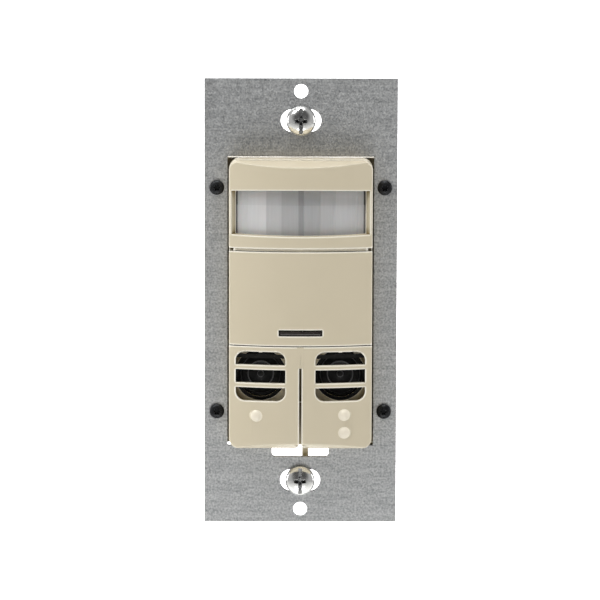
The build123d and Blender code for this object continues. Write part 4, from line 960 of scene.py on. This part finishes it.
# Relay coils: wound with enamelled copper wire, about 0.1 mm thick. The turns are drawn 1.9 mm apart, which
# is 0.3 mm for each radian of the wave and far coarser than the wire, so that they can be told apart.
turn_radian = 0.3
wave_factor = 20
copper, copper_shader = start_material("enamelled_copper", "#9B5430", 0.3, 1.0)
wave_scale = 1 / (turn_radian * MM) / wave_factor
turns = add_node(
    copper,
    "ShaderNodeTexWave",
    {"Scale": wave_scale, "bands_direction": "Z", "Distortion": 0.4},
    {"Vector": add_node(copper, "ShaderNodeTexCoord").outputs["Object"]},
).outputs["Fac"]
link(copper, copper_shader, "Base Color", blend_colours(copper, turns, ("#6E3418", "#B3683F"), (0.1, 0.9)))
set_bump(copper, copper_shader, turns, 0.06)
dress(copper, "relay_coils")
soften(0.1, "relay_coils")

# Circuit boards: glass-epoxy laminate under green solder mask. The copper tracks show through as lighter
# lines, drawn coarser and more evenly than a real layout.
laminate, laminate_shader = start_material("solder_masked_laminate", "#0F5A34", 0.32, 0.0, 1.55)
board_place = add_node(laminate, "ShaderNodeTexCoord").outputs["Object"]
board_flat = add_node(
    laminate, "ShaderNodeMapping", {"Rotation": (math.radians(90), 0, 0)}, {"Vector": board_place}
).outputs["Vector"]
tracks = add_node(
    laminate,
    "ShaderNodeTexBrick",
    {
        "Scale": 1.0,
        "Brick Width": 3.4 * MM,
        "Row Height": 1.27 * MM,
        "Mortar Size": 0.16 * MM,
        "Color1": (0, 0, 0, 1),
        "Color2": (0.12, 0.12, 0.12, 1),
        "Mortar": (1, 1, 1, 1),
    },
    {"Vector": board_flat},
).outputs["Color"]
board_body = blend_colours(laminate, tracks, ("#0C4A2B", "#1C7444"), (0.05, 0.95))
link(laminate, laminate_shader, "Base Color", board_body)
set_bump(laminate, laminate_shader, tracks, 0.03)
dress(laminate, "sensor_board", "power_board")


# Rear housing: a deep shell of black flame-retardant polycarbonate blend with a matt spark-eroded texture. A
# raised rim and four ejector marks are moulded into its back. All of it is a guess, as it is out of sight.
shell, shell_shader = start_material("black_textured_polycarbonate", "#1B1B1C", 0.55, 0.0, 1.58)
link(shell, shell_shader, "Base Color", blend_colours(shell, grain(shell, 3.0), ("#171718", "#212122")))
link(shell, shell_shader, "Roughness", spread(shell, grain(shell, 0.5), 0.48, 0.64))
set_bump(shell, shell_shader, grain(shell, 0.22, 3.0), 0.03)
dress(shell, "rear_housing")
soften(0.2, "rear_housing")

shell_low, shell_high = (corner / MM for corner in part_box("rear_housing"))
rim_inset = 3.2
rim_width = 0.8
rim_rise = 0.4
rim_corner = 2.0
rim_edge = 0.12
rim_overlap = 0.1
ejector_radius = 2.0
ejector_ring_width = 0.3
ejector_inset = 8.5


def rounded_outline(half_width, low_z, high_z, corner):
    """Outline of a rectangle with round corners in the wall plane, in mm."""
    right = half_width - corner
    return [
        *arc((right, high_z - corner), corner, 0, 90, 6),
        *arc((-right, high_z - corner), corner, 90, 180, 6),
        *arc((-right, low_z + corner), corner, 180, 270, 6),
        *arc((right, low_z + corner), corner, 270, 360, 6),
    ]


rim_outer = rounded_outline(
    shell_high.x - rim_inset, shell_low.z + rim_inset, shell_high.z - rim_inset, rim_corner
)
rim_inner = rounded_outline(
    shell_high.x - rim_inset - rim_width,
    shell_low.z + rim_inset + rim_width,
    shell_high.z - rim_inset - rim_width,
    rim_corner - rim_width / 2,
)
marks = [[rim_outer, rim_inner]]
for side in (-1, 1):
    for height in (shell_low.z + ejector_inset, shell_high.z - ejector_inset):
        middle = (side * (shell_high.x - ejector_inset), height)
        ejector_bore = ejector_radius - ejector_ring_width
        marks.append([circle(middle, ejector_radius, 36), circle(middle, ejector_bore, 36)])
rear_parts = []
for outlines in marks:
    mark = stamping("mark", outlines, shell_high.y - rim_overlap, rim_rise + rim_overlap, rim_edge)
    rear_parts.append((mark, (0, 0, 0)))
place_piece("rear_rim", merged("rear_rim", rear_parts), shell, "switch_housing", "black_plastic")


# Studio: the camera stands 0.8 m away and 6.5 degrees above, as in the photograph. A pale floor lies well
# below and a lit white screen far behind. The light is soft, strongest from above, with a small key lamp from
# the upper left and a large lamp at each side, and the room is darkest in front, so that metal looks grey.
# Only the camera sees the room itself as a white wall.
view_distance = 0.8
view_elevation = math.radians(6.5)
view_roll = math.radians(0.157)
frame_width = 0.13842
look_at = Vector((-0.00013, 0, 0.00021))

camera_data = bpy.data.cameras.new("camera")
camera = bpy.data.objects.new("camera", camera_data)
scene.collection.objects.link(camera)
camera_data.sensor_width = 36
camera_data.lens = camera_data.sensor_width * view_distance / frame_width
away = Vector((0, -math.cos(view_elevation), math.sin(view_elevation)))
camera.location = look_at + away * view_distance
camera.rotation_euler = (math.radians(90) - view_elevation, 0, 0)
camera.rotation_euler.rotate_axis("Z", view_roll)
camera_data.clip_start = 0.01
camera_data.clip_end = 100
scene.camera = camera


def add_lamp(name, place, size, watts):
    """A soft square lamp aimed at the middle of the switch."""
    lamp_data = bpy.data.lights.new(name, "AREA")
    lamp_data.size = size
    lamp_data.energy = watts
    lamp = bpy.data.objects.new(name, lamp_data)
    scene.collection.objects.link(lamp)
    lamp.location = place
    lamp.rotation_euler = (-Vector(place)).to_track_quat("-Z", "Y").to_euler()


add_lamp("top_lamp", (0.0, -0.25, 0.87), 0.5, 5.0)
add_lamp("key_lamp", (-0.45, -0.45, 0.65), 0.25, 2.4)
add_lamp("low_lamp", (0.0, -0.5, -0.45), 0.3, 0.9)
add_lamp("left_lamp", (-0.9, 0.15, 0.1), 0.5, 3.6)
add_lamp("right_lamp", (0.9, 0.15, 0.1), 0.5, 2.4)


def backdrop(name, half_size, place, turn, material):
    """A flat sheet of the studio, not part of the switch."""
    mesh = bpy.data.meshes.new(name)
    corners = [(x * half_size, y * half_size, 0) for x, y in ((-1, -1), (1, -1), (1, 1), (-1, 1))]
    mesh.from_pydata(corners, [], [(0, 1, 2, 3)])
    sheet = bpy.data.objects.new(name, mesh)
    scene.collection.objects.link(sheet)
    sheet.location = place
    sheet.rotation_euler = turn
    mesh.materials.append(material)


pale_floor, _ = start_material("pale_floor", "#E8E8E6", 0.7)
white_screen, white_screen_shader = start_material("lit_screen", "#FFFFFF", 0.9)
white_screen_shader.inputs["Emission Color"].default_value = (1, 1, 1, 1)
white_screen_shader.inputs["Emission Strength"].default_value = 2.5
backdrop("floor", 2.5, (0, 0, -0.6), (0, 0, 0), pale_floor)
backdrop("screen", 3.0, (0, 1.5, 0), (math.radians(90), 0, 0), white_screen)

room = bpy.data.worlds.new("studio_room")
scene.world = room
room.use_nodes = True
direction = add_node(room, "ShaderNodeTexCoord").outputs["Generated"]
dark_middle = math.radians(25)
dark_way = (0, -math.cos(dark_middle), math.sin(dark_middle))
towards_dark = add_node(
    room, "ShaderNodeVectorMath", {"operation": "DOT_PRODUCT", 1: dark_way}, {0: direction}
).outputs["Value"]
room_tone = blend_colours(room, towards_dark, ("#AEAEAE", "#AEAEAE", "#505050"), (0.0, 0.7, 0.9))
room_light = add_node(
    room, "ShaderNodeBackground", {"Strength": 1.0}, {"Color": room_tone}
).outputs["Background"]
white_wall = add_node(
    room, "ShaderNodeBackground", {"Color": (1, 1, 1, 1), "Strength": 0.9}
).outputs["Background"]
seen_directly = add_node(room, "ShaderNodeLightPath").outputs["Is Camera Ray"]
mixed_room = add_node(room, "ShaderNodeMixShader", links={"Fac": seen_directly, 1: room_light, 2: white_wall})
world_output = room.node_tree.nodes["World Output"]
room.node_tree.links.new(mixed_room.outputs["Shader"], world_output.inputs["Surface"])
scene.view_settings.view_transform = "Standard"
